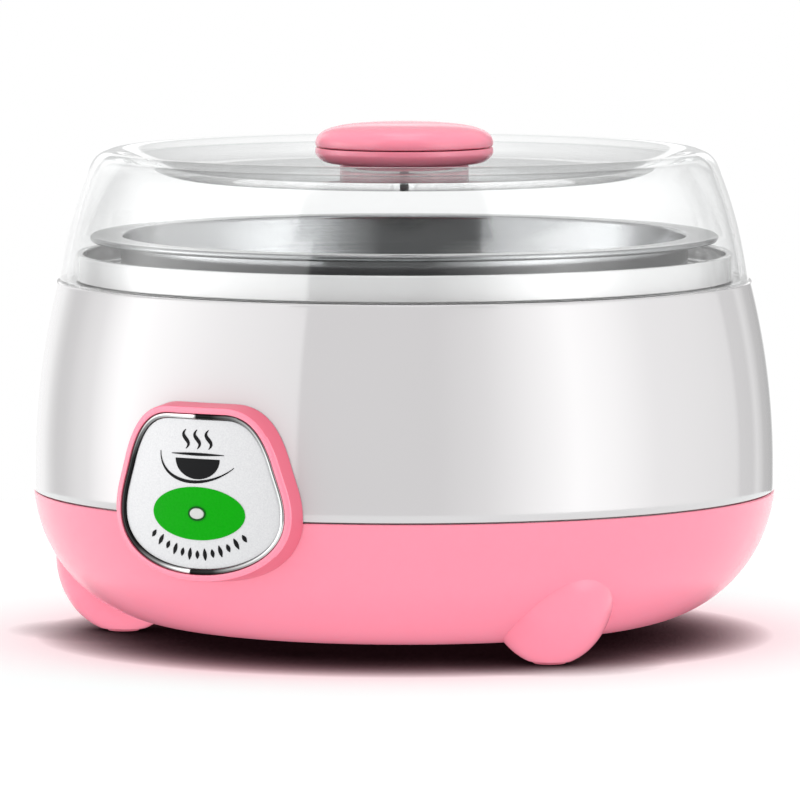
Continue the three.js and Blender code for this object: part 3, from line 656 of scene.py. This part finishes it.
def well_liner():
    corners = [
        (COLLAR_RADIUS, LEDGE + 0.3, 0.3), (COLLAR_RADIUS, COLLAR_TOP, 0.7), (82.2, COLLAR_TOP, 0.7),
        (82.2, 94, 0.8), (77.6, 94, 1.2), (71.2, 28, 8), (36, 28, 0.3), (36, 26.2), (30, 26.2),
        (30, 24, 0.5), (38.4, 24, 0.5), (38.4, 25.8), (73.4, 25.8, 10), (79.6, LEDGE + 0.3),
    ]
    liner = lathe("well_liner", rounded(corners, steps=10))
    posts = [*at_case_screws(4, 16.2, 26.5), *at_clamp_screws(3.6, 19, 26.5)]
    combine(liner, "UNION", *posts, rod(3.4, 22.8, 26.5, y=CLIP_SCREW))
    rib = rounded([(69.4, 44, 1), (75, 44), (78, 88), (74.2, 88, 2)])
    ribs = [spin(prism("tool", rib, -0.9, 0.9), turn) for turn in range(0, 360, 60)]
    combine(liner, "UNION", *ribs)
    pilots = [*at_case_screws(1.5, 10, 24.3), *at_clamp_screws(1.5, 10, 24.3)]
    combine(liner, "DIFFERENCE", *pilots, rod(1.3, 10, 26.2, y=CLIP_SCREW))
    finish(liner, LINER_WHITE, "housing", "white_plastic", "inner_liner")


# ---- pot, lid and knob


def steel_pot():
    sheet, curl, corner = 0.6, 0.78, 12.0
    foot, neck, bend = 66.5, 72.6, 43.0
    bead = (POT_RIM - curl, POT_TOP - curl)
    corner_centre = (foot - corner, POT_BOTTOM + corner)
    under_rim = POT_TOP - sheet
    outer_side = [(foot, bend), (neck - 0.1, 93, 4), (neck, under_rim - 0.05, 0.7), (bead[0], under_rim)]
    inner_side = [(bead[0], POT_TOP), (neck - 0.5, POT_TOP, 0.9), (foot - sheet, bend)]
    outside = [
        (0, POT_BOTTOM), *arc(corner_centre, (corner, corner), -90, -3, 16),
        *rounded(outer_side, closed=False, steps=8)[1:],
    ]
    edge = arc(bead, (curl, curl), -200, 90, 20)
    inside = [
        *rounded(inner_side, closed=False, steps=8)[1:],
        *arc(corner_centre, (corner - sheet, corner - sheet), -3, -90, 16)[1:],
        (0, POT_BOTTOM + sheet),
    ]
    pot = lathe("steel_pot", [*outside, *edge, *inside], crease=50)
    finish(pot, STEEL, "pot", "stainless_steel", "inner_pot")


def clear_lid():
    wall = 2.0
    dish, ceiling = 54, LID_TOP - wall
    shoulder, crown = (81.6, LID_TOP - 5.7), (75, LID_TOP)
    inner_shoulder, inner_crown = (79.7, LID_TOP - 6.4), (74.6, ceiling)
    outside = [
        *bezier([(LID_RADIUS, LID_BOTTOM), (86.6, 106), shoulder], 24),
        *bezier([shoulder, (79.3, LID_TOP), crown], 16)[1:],
        *bezier([crown, (68, LID_TOP), (66, LID_DISH + 0.4), (dish, LID_DISH + 0.2)], 24)[1:],
    ]
    inside = [
        *bezier([(dish, LID_DISH + 0.2 - wall), (67, LID_DISH - 1.6), (69, ceiling), inner_crown], 24),
        *bezier([inner_crown, (77.8, ceiling), inner_shoulder], 16)[1:],
        *bezier([inner_shoulder, (84.6, 105.6), (LID_RADIUS - wall, LID_BOTTOM)], 24)[1:],
    ]
    hole = [(3.2, LID_DISH), (3.2, LID_DISH - wall)]
    foot_corners = [
        inside[-2], (LID_RADIUS - wall, LID_BOTTOM, 0.5), (LID_RADIUS, LID_BOTTOM, 0.5), outside[1],
    ]
    foot = rounded(foot_corners, closed=False)
    lid = lathe("clear_lid", [*outside[1:], *hole, *inside[:-1], *foot[1:-1]], crease=60)
    finish(lid, CLEAR, "lid", "clear_plastic", "outer_lid")


def knob_lower_half():
    seat, top = low("knob_base", Z), high("knob_base", Z)
    floor_top = seat + KNOB_FLOOR
    corners = [
        (1.9, seat), (16.5, seat, 0.2), (16.5, seat + 1.6, 0.3), (20.6, seat + 1.75, 2.0),
        (KNOB_RADIUS + 0.1, seat + 3.9, 2.2), (KNOB_RADIUS - 0.1, top, 0.25), (KNOB_RADIUS - 2.2, top),
        (20, 122.9), (15, 122.7), (14, floor_top), (1.9, floor_top),
    ]
    lower = lathe("knob_lower_half", rounded(corners, steps=8), ROUND)
    finish(lower, PINK, "lid", "pink_plastic", "knob_base")


def knob_upper_half():
    bottom = high("knob_base", Z) + KNOB_GAP
    boss = low("knob_base", Z) + KNOB_FLOOR + KNOB_GAP
    ceiling = 128.6
    dome = bezier([(KNOB_RADIUS, bottom + 0.9), (22.4, KNOB_TOP - 0.7), (14, KNOB_TOP), (0, KNOB_TOP)], 32)
    dome[-1] = Vector((0, KNOB_TOP))
    upper = [
        (0, ceiling), (1.5, ceiling), (1.5, boss), (5, boss), (5, ceiling + 0.3), (14, ceiling + 0.1),
        (19, ceiling - 1), (KNOB_RADIUS - 2.2, bottom), (KNOB_RADIUS - 0.35, bottom),
        (KNOB_RADIUS - 0.1, bottom + 0.25), *dome,
    ]
    finish(lathe("knob_upper_half", upper, ROUND), PINK, "lid", "pink_plastic", "knob_cap")


# ---- badge


def badge_outline(margin):
    """The bright ring's outer edge as (x, z) points, moved outwards by a margin in millimetres."""
    half = [
        *bezier([(0, 64.4), (8, 64.4)], 4),
        *bezier([(8, 64.4), (14, 64.4), (17.8, 61), (20.6, 53)], 18)[1:],
        *bezier([(20.6, 53), (22.4, 47), (24, 44), (24, 39.5)], 12)[1:],
        *bezier([(24, 39.5), (24.2, 30.5), (14, 24.4), (0, 24.4)], 22)[1:],
    ]
    points = [*half, *[Vector((-p.x, p.y)) for p in reversed(half[1:-1])]]
    return offset_outline(points, margin)


def offset_outline(points, margin):
    moved = []
    for i, point in enumerate(points):
        along = points[(i + 1) % len(points)] - points[i - 1]
        outward = Vector((-along.y, along.x)).normalized()
        moved.append(point + outward * margin)
    return moved


def ellipse_outline(half_width, half_height, count=72):
    def outline(margin):
        radii = (half_width + margin, half_height + margin)
        return [p for p in arc((0, LAMP_LEVEL), radii, 90, -270, count)[:-1]]

    return outline


def bent(radius, x, z):
    """Where a line at x and z meets a round surface in front of the housing's axis."""
    return (x, -math.sqrt(radius * radius - x * x), z)


def on_cylinder(bm, outline, radius):
    """A ring of vertices where an outline meets a round surface, whose radius may depend on height."""
    return [bm.verts.new(bent(radius(z) if callable(radius) else radius, x, z)) for x, z in outline]


def shrunk(outline, centre, share):
    """An outline drawn in towards its centre, down to one point where the share is 0."""
    middle = Vector((0.0, centre))
    return [middle + (point - middle) * share for point in outline] if share else [middle]


def curved_plate(name, outline, section, centre):
    """A plate bent round the housing's axis. section runs from the rear to the front as (margin, radius)."""
    bm = bmesh.new()
    shares = (0.0, 0.2, 0.45, 0.7, 0.88)
    back, front = section[0], section[-1]
    rings = [on_cylinder(bm, shrunk(outline(back[0]), centre, share), back[1]) for share in shares]
    rings += [on_cylinder(bm, outline(margin), radius) for margin, radius in section]
    rings += [on_cylinder(bm, shrunk(outline(front[0]), centre, share), front[1]) for share in shares[::-1]]
    skin(bm, rings)
    return make_object(name, bm)


def curved_ring(name, outline, section):
    """A ring bent round the housing's axis. section is a loop of (margin, radius)."""
    bm = bmesh.new()
    skin(bm, [on_cylinder(bm, outline(margin), radius) for margin, radius in section], closed=True)
    return make_object(name, bm, crease=40)


def behind_badge(height):
    """The radius of the badge's rear, just off the shell."""
    return housing_radius(height) + 0.3


def badge_surround():
    face = BADGE_RADIUS
    side = rounded([(2.25, 95.2), (1.62, face, 0.6), (0.0, face, 0.35), (-0.05, 97.3)], closed=False)
    section = [(2.3, behind_badge), (2.25, lambda height: behind_badge(height) + 0.2), *side[1:]]
    bezel = curved_plate("badge_surround", badge_outline, section, BADGE_CENTRE)
    combine(bezel, "UNION", *at_badge_screws(2.7, 89.8, 96.5))
    combine(bezel, "DIFFERENCE", at_lamp(2.6, 80, 105), *at_badge_screws(1.2, 80, 96, segments=20))
    finish(bezel, PINK, "housing", "pink_plastic", "badge_bezel")
    # Faces turned away from the front take the darker pink, painted shade on the surround's sides.
    bezel.data.materials.append(PINK_SIDE_PAINTED_SHADE)
    for polygon in bezel.data.polygons:
        outward = Vector((polygon.center.x, polygon.center.y, 0)).normalized()
        polygon.material_index = 1 if polygon.normal.dot(outward) < 0.6 else 0


def badge_ring():
    corners = [(-0.12, BADGE_BACK), (-0.12, RING_FACE, 0.5), (-1.3, RING_FACE, 0.6), (-1.3, BADGE_BACK)]
    ring = curved_ring("badge_bright_ring", badge_outline, rounded(corners, steps=6))
    finish(ring, CHROME, "housing", "chrome_trim", "badge_ring")


def badge_plate():
    section = rounded([(-1.45, BADGE_BACK), (-1.45, PLATE_FACE, 0.2), (-2.2, PLATE_FACE)], closed=False)
    plate = curved_plate("badge_silver_plate", badge_outline, section, BADGE_CENTRE)
    combine(plate, "DIFFERENCE", at_lamp(2.6, 80, 105))
    finish(plate, SILVER, "housing", "silver_film", "badge_plate")


def green_oval():
    film = [(0, FILM_BACK), (0, FILM_BACK + 0.1), (-0.08, FILM_BACK + 0.16)]
    oval = curved_plate("green_oval", ellipse_outline(13.4, 6.6), film, LAMP_LEVEL)
    combine(oval, "DIFFERENCE", prism("tool", ellipse_outline(2.35, 1.65)(0), -105, -80))
    finish(oval, GREEN, "housing", "green_film", "badge_oval")


def lamp_window():
    section = [(0.28, 98.8), (0.28, 98.95), (-0.15, 98.95), (-0.15, 98.8)]
    surround = curved_ring("lamp_surround", ellipse_outline(2.3, 1.55), section)
    finish(surround, DARK_GREEN, "housing", "green_film")
    window = rounded([(-0.05, BADGE_BACK), (-0.05, 99.1, 0.3), (-0.9, 99.35)], closed=False)
    lens = curved_plate("lamp_window", ellipse_outline(2.1, 1.4), window, LAMP_LEVEL)
    combine(lens, "UNION", at_lamp(2.2, 95.3, 98.0))
    finish(lens, LENS, "housing", "lens_plastic", "lamp_lens")


def ink_stripe(bm, pairs):
    """A thin raised stripe of ink on the plate between two edges, given as pairs of (x, z) points."""
    face = FILM_BACK + 0.08
    sections = []
    for first, second in pairs:
        corners = [(face, *first), (face, *second), (FILM_BACK, *second), (FILM_BACK, *first)]
        sections.append([bm.verts.new(bent(*corner)) for corner in corners])
    skin(bm, sections)
    bm.faces.new(sections[0])
    bm.faces.new(sections[-1])


def brush(points, width, end=0.15):
    """Edge pairs of a brush stroke along points, widest in the middle."""
    pairs = []
    last = len(points) - 1
    for i, point in enumerate(points):
        along = points[min(i + 1, last)] - points[max(i - 1, 0)]
        across = Vector((-along.y, along.x)).normalized()
        half = (end + (width - end) * math.sin(math.pi * i / last)) / 2
        pairs.append((point - across * half, point + across * half))
    return pairs


def badge_print():
    """A steaming bowl over a brush stroke, and a row of beads below the oval."""
    bm = bmesh.new()
    edge, depth = 53.2, 5.0
    bowl = [(x, edge - 0.1 - depth * math.sqrt(1 - (x / 6.45) ** 2)) for x in spread(-6.4, 6.4, 32)]
    ink_stripe(bm, [((x, edge), (x, z)) for x, z in bowl])
    ink_stripe(bm, brush([Vector((x, edge + 1.1)) for x in spread(-7.6, 7.6, 24)], 0.75))
    for x in (-3.3, 0.0, 3.3):
        steam = [Vector((x + 0.75 * math.sin(t * 2 * math.pi), 55.6 + 4.8 * t)) for t in spread(0, 1, 16)]
        ink_stripe(bm, brush(steam, 1.0))
    ink_stripe(bm, brush(bezier([(-11, 54.8), (-11.6, 46.6), (2, 44.9), (10.4, 51.3)], 32), 0.8))
    reach, sag = 13.2, 4.6
    for i, x in enumerate(spread(-reach, reach, 12)):
        middle = Vector((x, 29.4 + sag * (x / reach) ** 2))
        upward = Vector((-2 * sag * x / reach**2, 1)).normalized()
        half = 1.5 if i % 2 else 1.05
        ink_stripe(bm, brush([middle + upward * half * t for t in spread(-1, 1, 12)], 1.1))
    finish(make_object("badge_print", bm), BLACK_INK, "housing", "silver_film")


# ---- screws, pads and the works inside


def pan_screw(name, node, body, head, head_height, shank, length, forwards=False):
    """A pan-head screw with a cross recess and a rolled thread, where its CAD node stands."""
    thread = []
    rise = head_height + 1.0
    while rise < head_height + length - 1.6:
        thread += [(shank - 0.22, rise), (shank, rise + 0.28), (shank - 0.22, rise + 0.56)]
        rise += 0.62
    end = head_height + length
    pan = [
        (0, 0), (head * 0.72, 0, 0.3), (head, head_height * 0.55, 0.5), (head, head_height, 0.15),
        (shank, head_height),
    ]
    profile = [*rounded(pan, closed=False, steps=4), *thread, (shank - 0.25, end - 1.2), (0, end)]
    piece = lathe("tool", profile, SMALL)
    reach, width = head * 0.5, head * 0.13
    bars = [box_tool(-reach, reach, -width, width, -1, 0.9), box_tool(-width, width, -reach, reach, -1, 0.9)]
    combine(piece, "DIFFERENCE", *bars)
    piece.name = name
    if forwards:
        place(piece, halfway(node, X), high(node, Y), halfway(node, Z), "-Y")
    else:
        place(piece, halfway(node, X), halfway(node, Y), low(node, Z))
    finish(piece, ZINC, body, "zinc_steel", node)


def rubber_pad(i):
    corners = [(0, 0.25), (2.6, 0.25), (2.9, 0), (4.2, 0, 0.4), (4.2, 1.2, 0.15), (0, 1.2)]
    pad = lathe(f"rubber_pad_{i}", rounded(corners, closed=False), MEDIUM)
    place(pad, *at_bearing(FOOT_BEARINGS[i - 1], FOOT_CIRCLE))
    finish(pad, RUBBER, "housing", "foot_rubber", f"foot_pad_{i}")


def badge_screw(i):
    node, head_height = f"badge_screw_{i}", 1.6
    length = high(node, Y) - low(node, Y) - head_height
    pan_screw(f"surround_screw_{i}", node, "housing", 2.8, head_height, 1.0, length, forwards=True)


def sealing_washer():
    bottom, top = low("knob_washer", Z), high("knob_washer", Z)
    washer = rounded([(1.9, bottom, 0.1), (6, bottom, 0.3), (6, top, 0.3), (1.9, top, 0.1)])
    finish(lathe("sealing_washer", washer, MEDIUM), SILICONE, "lid", "silicone", "knob_washer")


def fastenings():
    for i in (1, 2, 3):
        pan_screw(f"housing_screw_{i}", f"case_screw_{i}", "housing", 3.0, 1.7, 1.2, 11)
        rubber_pad(i)
    for i in (1, 2):
        badge_screw(i)
        pan_screw(f"heater_screw_{i}", f"clamp_screw_{i}", "housing", 2.8, 1.7, 1.2, 7)
    pan_screw("clip_screw", "fuse_clip_screw", "housing", 2.6, 1.6, 1.0, 5)
    pan_screw("handle_screw", "knob_screw", "lid", 3.2, 1.8, 1.2, 9.5)
    sealing_washer()


def heating_disc():
    """The disc with fine turned grooves on its top, and the seal under its edge."""
    edge, underside = 35.4, 27.3
    grooves = [(radius, PLATE_TOP - 0.05 * (radius % 2)) for radius in range(34, 2, -1)]
    disc = [
        (0, underside), (edge - 0.5, underside), (edge, underside + 0.5), (edge, PLATE_TOP - 0.5),
        (edge - 0.4, PLATE_TOP), *grooves, (0, PLATE_TOP),
    ]
    finish(lathe("heating_disc", disc, ROUND), ALUMINIUM, "housing", "bare_aluminium", "heating_plate")
    seal = rounded([(31, 26.4, 0.3), (edge, 26.4, 0.3), (edge, 27.1, 0.3), (31, 27.1, 0.3)])
    finish(lathe("disc_seal", seal, ROUND), SILICONE, "housing", "silicone", "plate_gasket")


def ptc_block():
    """The heating block with five grooves along each side, and its two terminals."""
    side, bottom, top = 12, 19, 27
    grooves = []
    for groove in range(5):
        start = 20.6 + groove * 1.2
        grooves += [(side, start), (side - 0.6, start + 0.2), (side - 0.6, start + 0.5), (side, start + 0.7)]
    right = [(side - 0.4, bottom), (side, bottom + 0.4), *grooves, (side, top - 0.3), (side - 0.3, top)]
    left = [(-x, z) for x, z in reversed(right)]
    section = [*left[-2:], *right, *left[:-2]]
    block = spin(prism("ptc_block", section, -23, 23), 90)
    terminals = [box_tool(22.5, 26, y - 1.6, y + 1.6, 22.6, 23.4) for y in (-5, 5)]
    combine(block, "UNION", *terminals)
    finish(block, CAST_ALUMINIUM, "housing", "bare_aluminium", "ptc_heater")


def heater_strip():
    section = rounded([(-46, 17.4, 0.4), (46, 17.4, 0.4), (46, 18.7, 0.4), (-46, 18.7, 0.4)])
    strip = prism("heater_strip", section, -5, 5)
    combine(strip, "DIFFERENCE", *at_clamp_screws(1.7, 10, 30))
    finish(strip, ZINC, "housing", "zinc_steel", "heater_clamp")


def thermal_fuse():
    """The fuse with its wire ends, and the bracket that holds it."""
    profile = [
        (0, -14), (0.5, -14), (0.5, -6.4), *arc((0.9, -5.2), (1.2, 1.2), -70, 0, 8), (2.1, 5.4), (1.9, 6.0),
        (0.5, 6.2), (0.5, 14), (0, 14),
    ]
    fuse = place(lathe("fuse", profile, SMALL), halfway("thermal_fuse", X), 16.8, 24.9, "+X")
    finish(fuse, BRASS, "housing", "brass_contact", "thermal_fuse")
    clip = [
        (13, 21.3, 0.5), (46, 21.3, 0.4), (46, 22.4, 0.4), (14.1, 22.4, 0.3), (14.1, 25.6, 0.4),
        (13, 25.6, 0.4),
    ]
    bracket = spin(prism("fuse_bracket", rounded(clip), -4, 4), 90)
    combine(bracket, "DIFFERENCE", rod(1.6, 10, 30, y=CLIP_SCREW))
    finish(bracket, ZINC, "housing", "zinc_steel", "fuse_clip")


def lamp_circuit():
    outline = rounded([(-11, 18.4, 0.6), (11, 18.4, 0.6), (11, 45, 0.6), (-11, 45, 0.6)])
    board = prism("lamp_circuit_board", outline, -81.6, -80)
    combine(board, "DIFFERENCE", *[rod(0.9, 75, 90, "-Y", x=x, z=24) for x in (-5, 5)])
    finish(board, BOARD, "housing", "circuit_board", "lamp_board")
    bulb, side = 2.5, 6.1
    dome = arc((0, side), (bulb, bulb), 3, 90, 16)[:-1]
    lamp = [(0, 0), (2.9, 0), (2.9, 0.9), (2.8, 1), (bulb, 1), (bulb, side), *dome, (0, side + bulb)]
    led = place(lathe("lamp_led", lamp, SMALL), 0, -81.9, LAMP_LEVEL, "-Y")
    finish(led, LED, "housing", "led_epoxy", "indicator_led")
    half = [(1.4, 2.2), (1.6, 2.6), (1.6, 3.8), (1.2, 4.4), (0.4, 4.5), (0.4, 7), (0, 7)]
    body = [*[(radius, -along) for radius, along in reversed(half)], *half]
    resistor = place(lathe("ballast_resistor", body, SMALL), 0, -83.6, 28, "+X")
    finish(resistor, RESISTOR, "housing", "resistor_body", "lamp_resistor")


def figure_eight():
    """The outline of the inlet's socket."""
    radii = (4.3, 4.3)
    right = arc((PIN_OFFSET, INLET_LEVEL), radii, -90, 90, 20)
    left = arc((-PIN_OFFSET, INLET_LEVEL), radii, 90, 270, 20)
    over = bezier([right[-1], (0, INLET_LEVEL + 3.1), left[0]], 8)[1:-1]
    under = bezier([left[-1], (0, INLET_LEVEL - 3.1), right[0]], 8)[1:-1]
    return [*right, *over, *left, *under]


def mains_inlet():
    back, front = high("base_shell", Y) + 0.3, high("mains_inlet", Y)
    flange = prism("inlet_socket", rounded_rectangle(23.4, 14.6, 3, INLET_LEVEL), back, front)
    bevelled(flange, 0.4)
    combine(flange, "UNION", prism("tool", rounded_rectangle(19, 11.5, 2.4, INLET_LEVEL), 82, 98.5))
    lead_ins = [rod(1.5, 70, 90, "+Y", x=x, z=INLET_LEVEL) for x in (-PIN_OFFSET, PIN_OFFSET)]
    combine(flange, "DIFFERENCE", prism("tool", figure_eight(), 86, 110), *lead_ins)
    finish(flange, BLACK, "housing", "black_plastic", "mains_inlet")
    for side, x in (("live", -PIN_OFFSET), ("neutral", PIN_OFFSET)):
        socket_pin(side, x)
        end_splice(side)


def socket_pin(side, x):
    profile = [(0, 0), (1.2, 0), (1.2, 19.6), (1.05, 20.1), (0.7, 20.4), (0, 20.5)]
    pin = place(lathe(f"socket_pin_{side}", profile, SMALL), x, 76, INLET_LEVEL, "+Y")
    finish(pin, BRASS, "housing", "brass_contact", f"inlet_pin_{side}")


def end_splice(side):
    node = f"crimp_cap_{side}"
    profile = [
        (0, 0), (1.7, 0), (2.1, 0.3), (2.6, 1.4), (2.6, 4), (2.35, 5.2), (2.35, 6.4), (2.6, 7.6), (2.6, 11),
        (3, 12), (0, 12),
    ]
    cap = lathe(f"end_splice_{side}", profile, SMALL)
    place(cap, halfway(node, X), low(node, Y), halfway(node, Z), "+Y")
    finish(cap, BLACK, "housing", "black_plastic", node)


LEADS = {
    "inlet_lead_live": RED, "inlet_lead_neutral": BLUE, "fuse_lead": RED, "heater_lead_live": RED,
    "heater_lead_neutral": BLUE, "lamp_lead_live": RED, "lamp_lead_neutral": BLUE,
}


def leads():
    """The CAD's own leads, rounded and insulated."""
    for node, insulation in LEADS.items():
        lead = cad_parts[node]
        lead.modifiers.new("weld", "WELD").merge_threshold = 0.00001
        rounding = lead.modifiers.new("round", "SUBSURF")
        rounding.levels = rounding.render_levels = 1
        lead.data.materials.clear()
        lead.data.materials.append(insulation)


# ---- camera, light and floor

CAMERA_BEARING = 31.2  # degrees; the lengths are in metres
CAMERA_DISTANCE = 2.2
CAMERA_HEIGHT = 0.2545
FRAME_WIDTH = 0.2051  # what the frame spans at the housing's axis
AIM_HEIGHT = 0.0603
AIM_LEFT = 0.0011


def camera():
    bearing = math.radians(CAMERA_BEARING)
    toward = Vector((math.sin(bearing), -math.cos(bearing), 0))
    right = Vector((math.cos(bearing), math.sin(bearing), 0))
    lens = bpy.data.cameras.new("camera")
    view = bpy.data.objects.new("camera", lens)
    bpy.context.scene.collection.objects.link(view)
    view.location = toward * CAMERA_DISTANCE + Vector((0, 0, CAMERA_HEIGHT))
    aim = Vector((0, 0, AIM_HEIGHT)) - right * AIM_LEFT
    direction = aim - view.location
    view.rotation_euler = direction.to_track_quat("-Z", "Y").to_euler()
    lens.sensor_width = 36.0
    lens.lens = lens.sensor_width * direction.length / FRAME_WIDTH
    lens.clip_end = 50.0
    bpy.context.scene.camera = view


def floor():
    """A pale floor with a painted contact shadow, which darkens its colour right under the object, and adds
    nothing to the light.
    """
    ground = lathe("floor", [(0, 0), (150, 0), (360, 0)], 96)
    for polygon in ground.data.polygons:
        if polygon.normal.z < 0:
            polygon.flip()
    made = Shader("floor_white", (0.8, 0.8, 0.8), 0.5, IOR=1.0)
    made.vary("Roughness", made.noise(6.0), 0.45, 0.6)
    # Painted shadow: the colour falls with ambient occlusion near the object; its faint cyan tint cancels
    # the pink light bounced into that shade.
    openness = made.node("AmbientOcclusion", {"Distance": 0.018}, samples=8).outputs["AO"]
    shade = made.node("Math", {0: openness, 1: 2.0}, operation="POWER").outputs[0]
    pale = made.node("VectorMath", {0: (0.84, 0.9, 0.89), "Scale": shade}, operation="SCALE")
    made.link(pale.outputs[0], "Base Color")
    ground.data.materials.append(made.material)
    ground.visible_diffuse = False
    ground.visible_shadow = False


# What glossy surfaces see, by bearing from the camera in degrees, clockwise seen from above.
SIDES = [
    (-180, 0.6), (-160, 1.1), (-150, 1.1), (-138, 0.5), (-131, 0.5), (-115, 1.2), (-98, 3.4), (-80, 3.0),
    (-60, 2.2), (-38, 1.6), (-33.7, 1.5), (-33.3, 0.25), (10, 0.25), (25, 1.0), (40, 2.4), (55, 3.6),
    (68, 3.0), (85, 1.8), (116, 1.1), (126, 0.9), (127.5, 0.5), (138, 0.5), (142, 0.8), (150, 0.4),
    (180, 0.4),
]
HIGH_SIDES = [
    (-180, 0.6), (-120, 0.9), (-70, 1.8), (-40, 1.9), (-39.6, 0.3), (32.2, 0.3), (32.6, 1.9), (70, 1.8),
    (120, 0.9), (180, 0.6),
]
# What they see behind the object and above it, and what lights matt surfaces, by elevation in degrees.
BEHIND = [
    (-90, 1.0), (2, 1.1), (2.6, 0.6), (5.6, 0.6), (6.2, 1.2), (11, 1.2), (13, 0.5), (44, 0.5), (56, 1.6),
    (90, 2.2),
]
ABOVE = [(-90, 0.7), (70, 0.7), (84, 2.0), (90, 2.4)]
SOFT_LIGHT = [(-90, 1.12), (0, 1.18), (38, 1.2), (60, 1.35), (90, 1.4)]
FROM_BELOW = 1.0
BRIGHTEST = 4.0  # no level is above this


class WorldNodes:
    """The studio's light as a function of direction."""

    def __init__(self):
        world = bpy.data.worlds.new("studio")
        bpy.context.scene.world = world
        world.use_nodes = True
        self.tree = world.node_tree
        self.background = self.tree.nodes["Background"]
        self.background.inputs["Color"].default_value = (1, 1, 1, 1)

    def add(self, kind, operation=None, **inputs):
        node = self.tree.nodes.new("ShaderNode" + kind)
        if operation:
            node.operation = operation
        for key, value in inputs.items():
            socket = node.inputs[int(key[1:])] if key[1:].isdigit() else node.inputs[key]
            if hasattr(value, "is_output"):
                self.tree.links.new(value, socket)
            else:
                socket.default_value = value
        return node

    def ramp(self, value, least, most, stops):
        """A light level looked up along stops of (angle, level)."""
        share = self.add("MapRange", Value=value)
        share.inputs["From Min"].default_value = math.radians(least)
        share.inputs["From Max"].default_value = math.radians(most)
        ramp = self.add("ValToRGB", Fac=share.outputs["Result"])
        fill_ramp(ramp, [((angle - least) / (most - least), level / BRIGHTEST) for angle, level in stops])
        return self.add("Math", "MULTIPLY", _0=ramp.outputs["Color"], _1=BRIGHTEST).outputs[0]

    def step(self, value, start, end):
        """Goes smoothly from 0 to 1 between two angles in degrees."""
        node = self.add("MapRange", Value=value)
        node.interpolation_type = "SMOOTHSTEP"
        node.inputs["From Min"].default_value = math.radians(start)
        node.inputs["From Max"].default_value = math.radians(end)
        return node.outputs["Result"]

    def mix(self, share, first, second):
        node = self.add("Mix", Factor=share, A=first, B=second)
        return node.outputs["Result"]


def world_light():
    world = WorldNodes()
    bearing = math.radians(CAMERA_BEARING)
    to_camera = (math.sin(bearing), -math.cos(bearing), 0)
    to_right = (math.cos(bearing), math.sin(bearing), 0)
    direction = world.add("TexCoord").outputs["Generated"]
    near = world.add("VectorMath", "DOT_PRODUCT", _0=direction, _1=to_camera)
    right = world.add("VectorMath", "DOT_PRODUCT", _0=direction, _1=to_right)
    around = world.add("Math", "ARCTAN2", _0=right.outputs["Value"], _1=near.outputs["Value"])
    rise = world.add("SeparateXYZ", Vector=direction).outputs["Z"]
    elevation = world.add("Math", "ARCSINE", _0=rise).outputs[0]
    sides = world.ramp(around.outputs[0], -180, 180, SIDES)
    high_sides = world.ramp(around.outputs[0], -180, 180, HIGH_SIDES)
    in_front = world.mix(world.step(elevation, -14, -10), FROM_BELOW, sides)
    in_front = world.mix(world.step(elevation, 22, 26), in_front, high_sides)
    in_front = world.mix(world.step(elevation, 56, 66), in_front, world.ramp(elevation, -90, 90, ABOVE))
    behind = world.ramp(elevation, -90, 90, BEHIND)
    away = world.add("Math", "ABSOLUTE", _0=around.outputs[0]).outputs[0]
    reflected = world.mix(world.step(away, 162, 167), in_front, behind)
    soft = world.ramp(elevation, -90, 90, SOFT_LIGHT)
    path = world.add("LightPath")
    not_yet_scattered = world.add("Math", "LESS_THAN", _0=path.outputs["Diffuse Depth"], _1=0.5)
    glossy = path.outputs["Is Glossy Ray"]
    mirrored = world.add("Math", "MULTIPLY", _0=glossy, _1=not_yet_scattered.outputs[0])
    lit = world.mix(mirrored.outputs[0], soft, reflected)
    strength = world.mix(path.outputs["Is Camera Ray"], lit, 1.0)
    world.tree.links.new(strength, world.background.inputs["Strength"])


bpy.context.scene.view_settings.view_transform = "Standard"
camera()
floor()
world_light()
pink_base()
white_shell()
well_liner()
steel_pot()
clear_lid()
knob_lower_half()
knob_upper_half()
badge_surround()
badge_ring()
badge_plate()
green_oval()
lamp_window()
badge_print()
fastenings()
heating_disc()
ptc_block()
heater_strip()
thermal_fuse()
lamp_circuit()
mains_inlet()
leads()
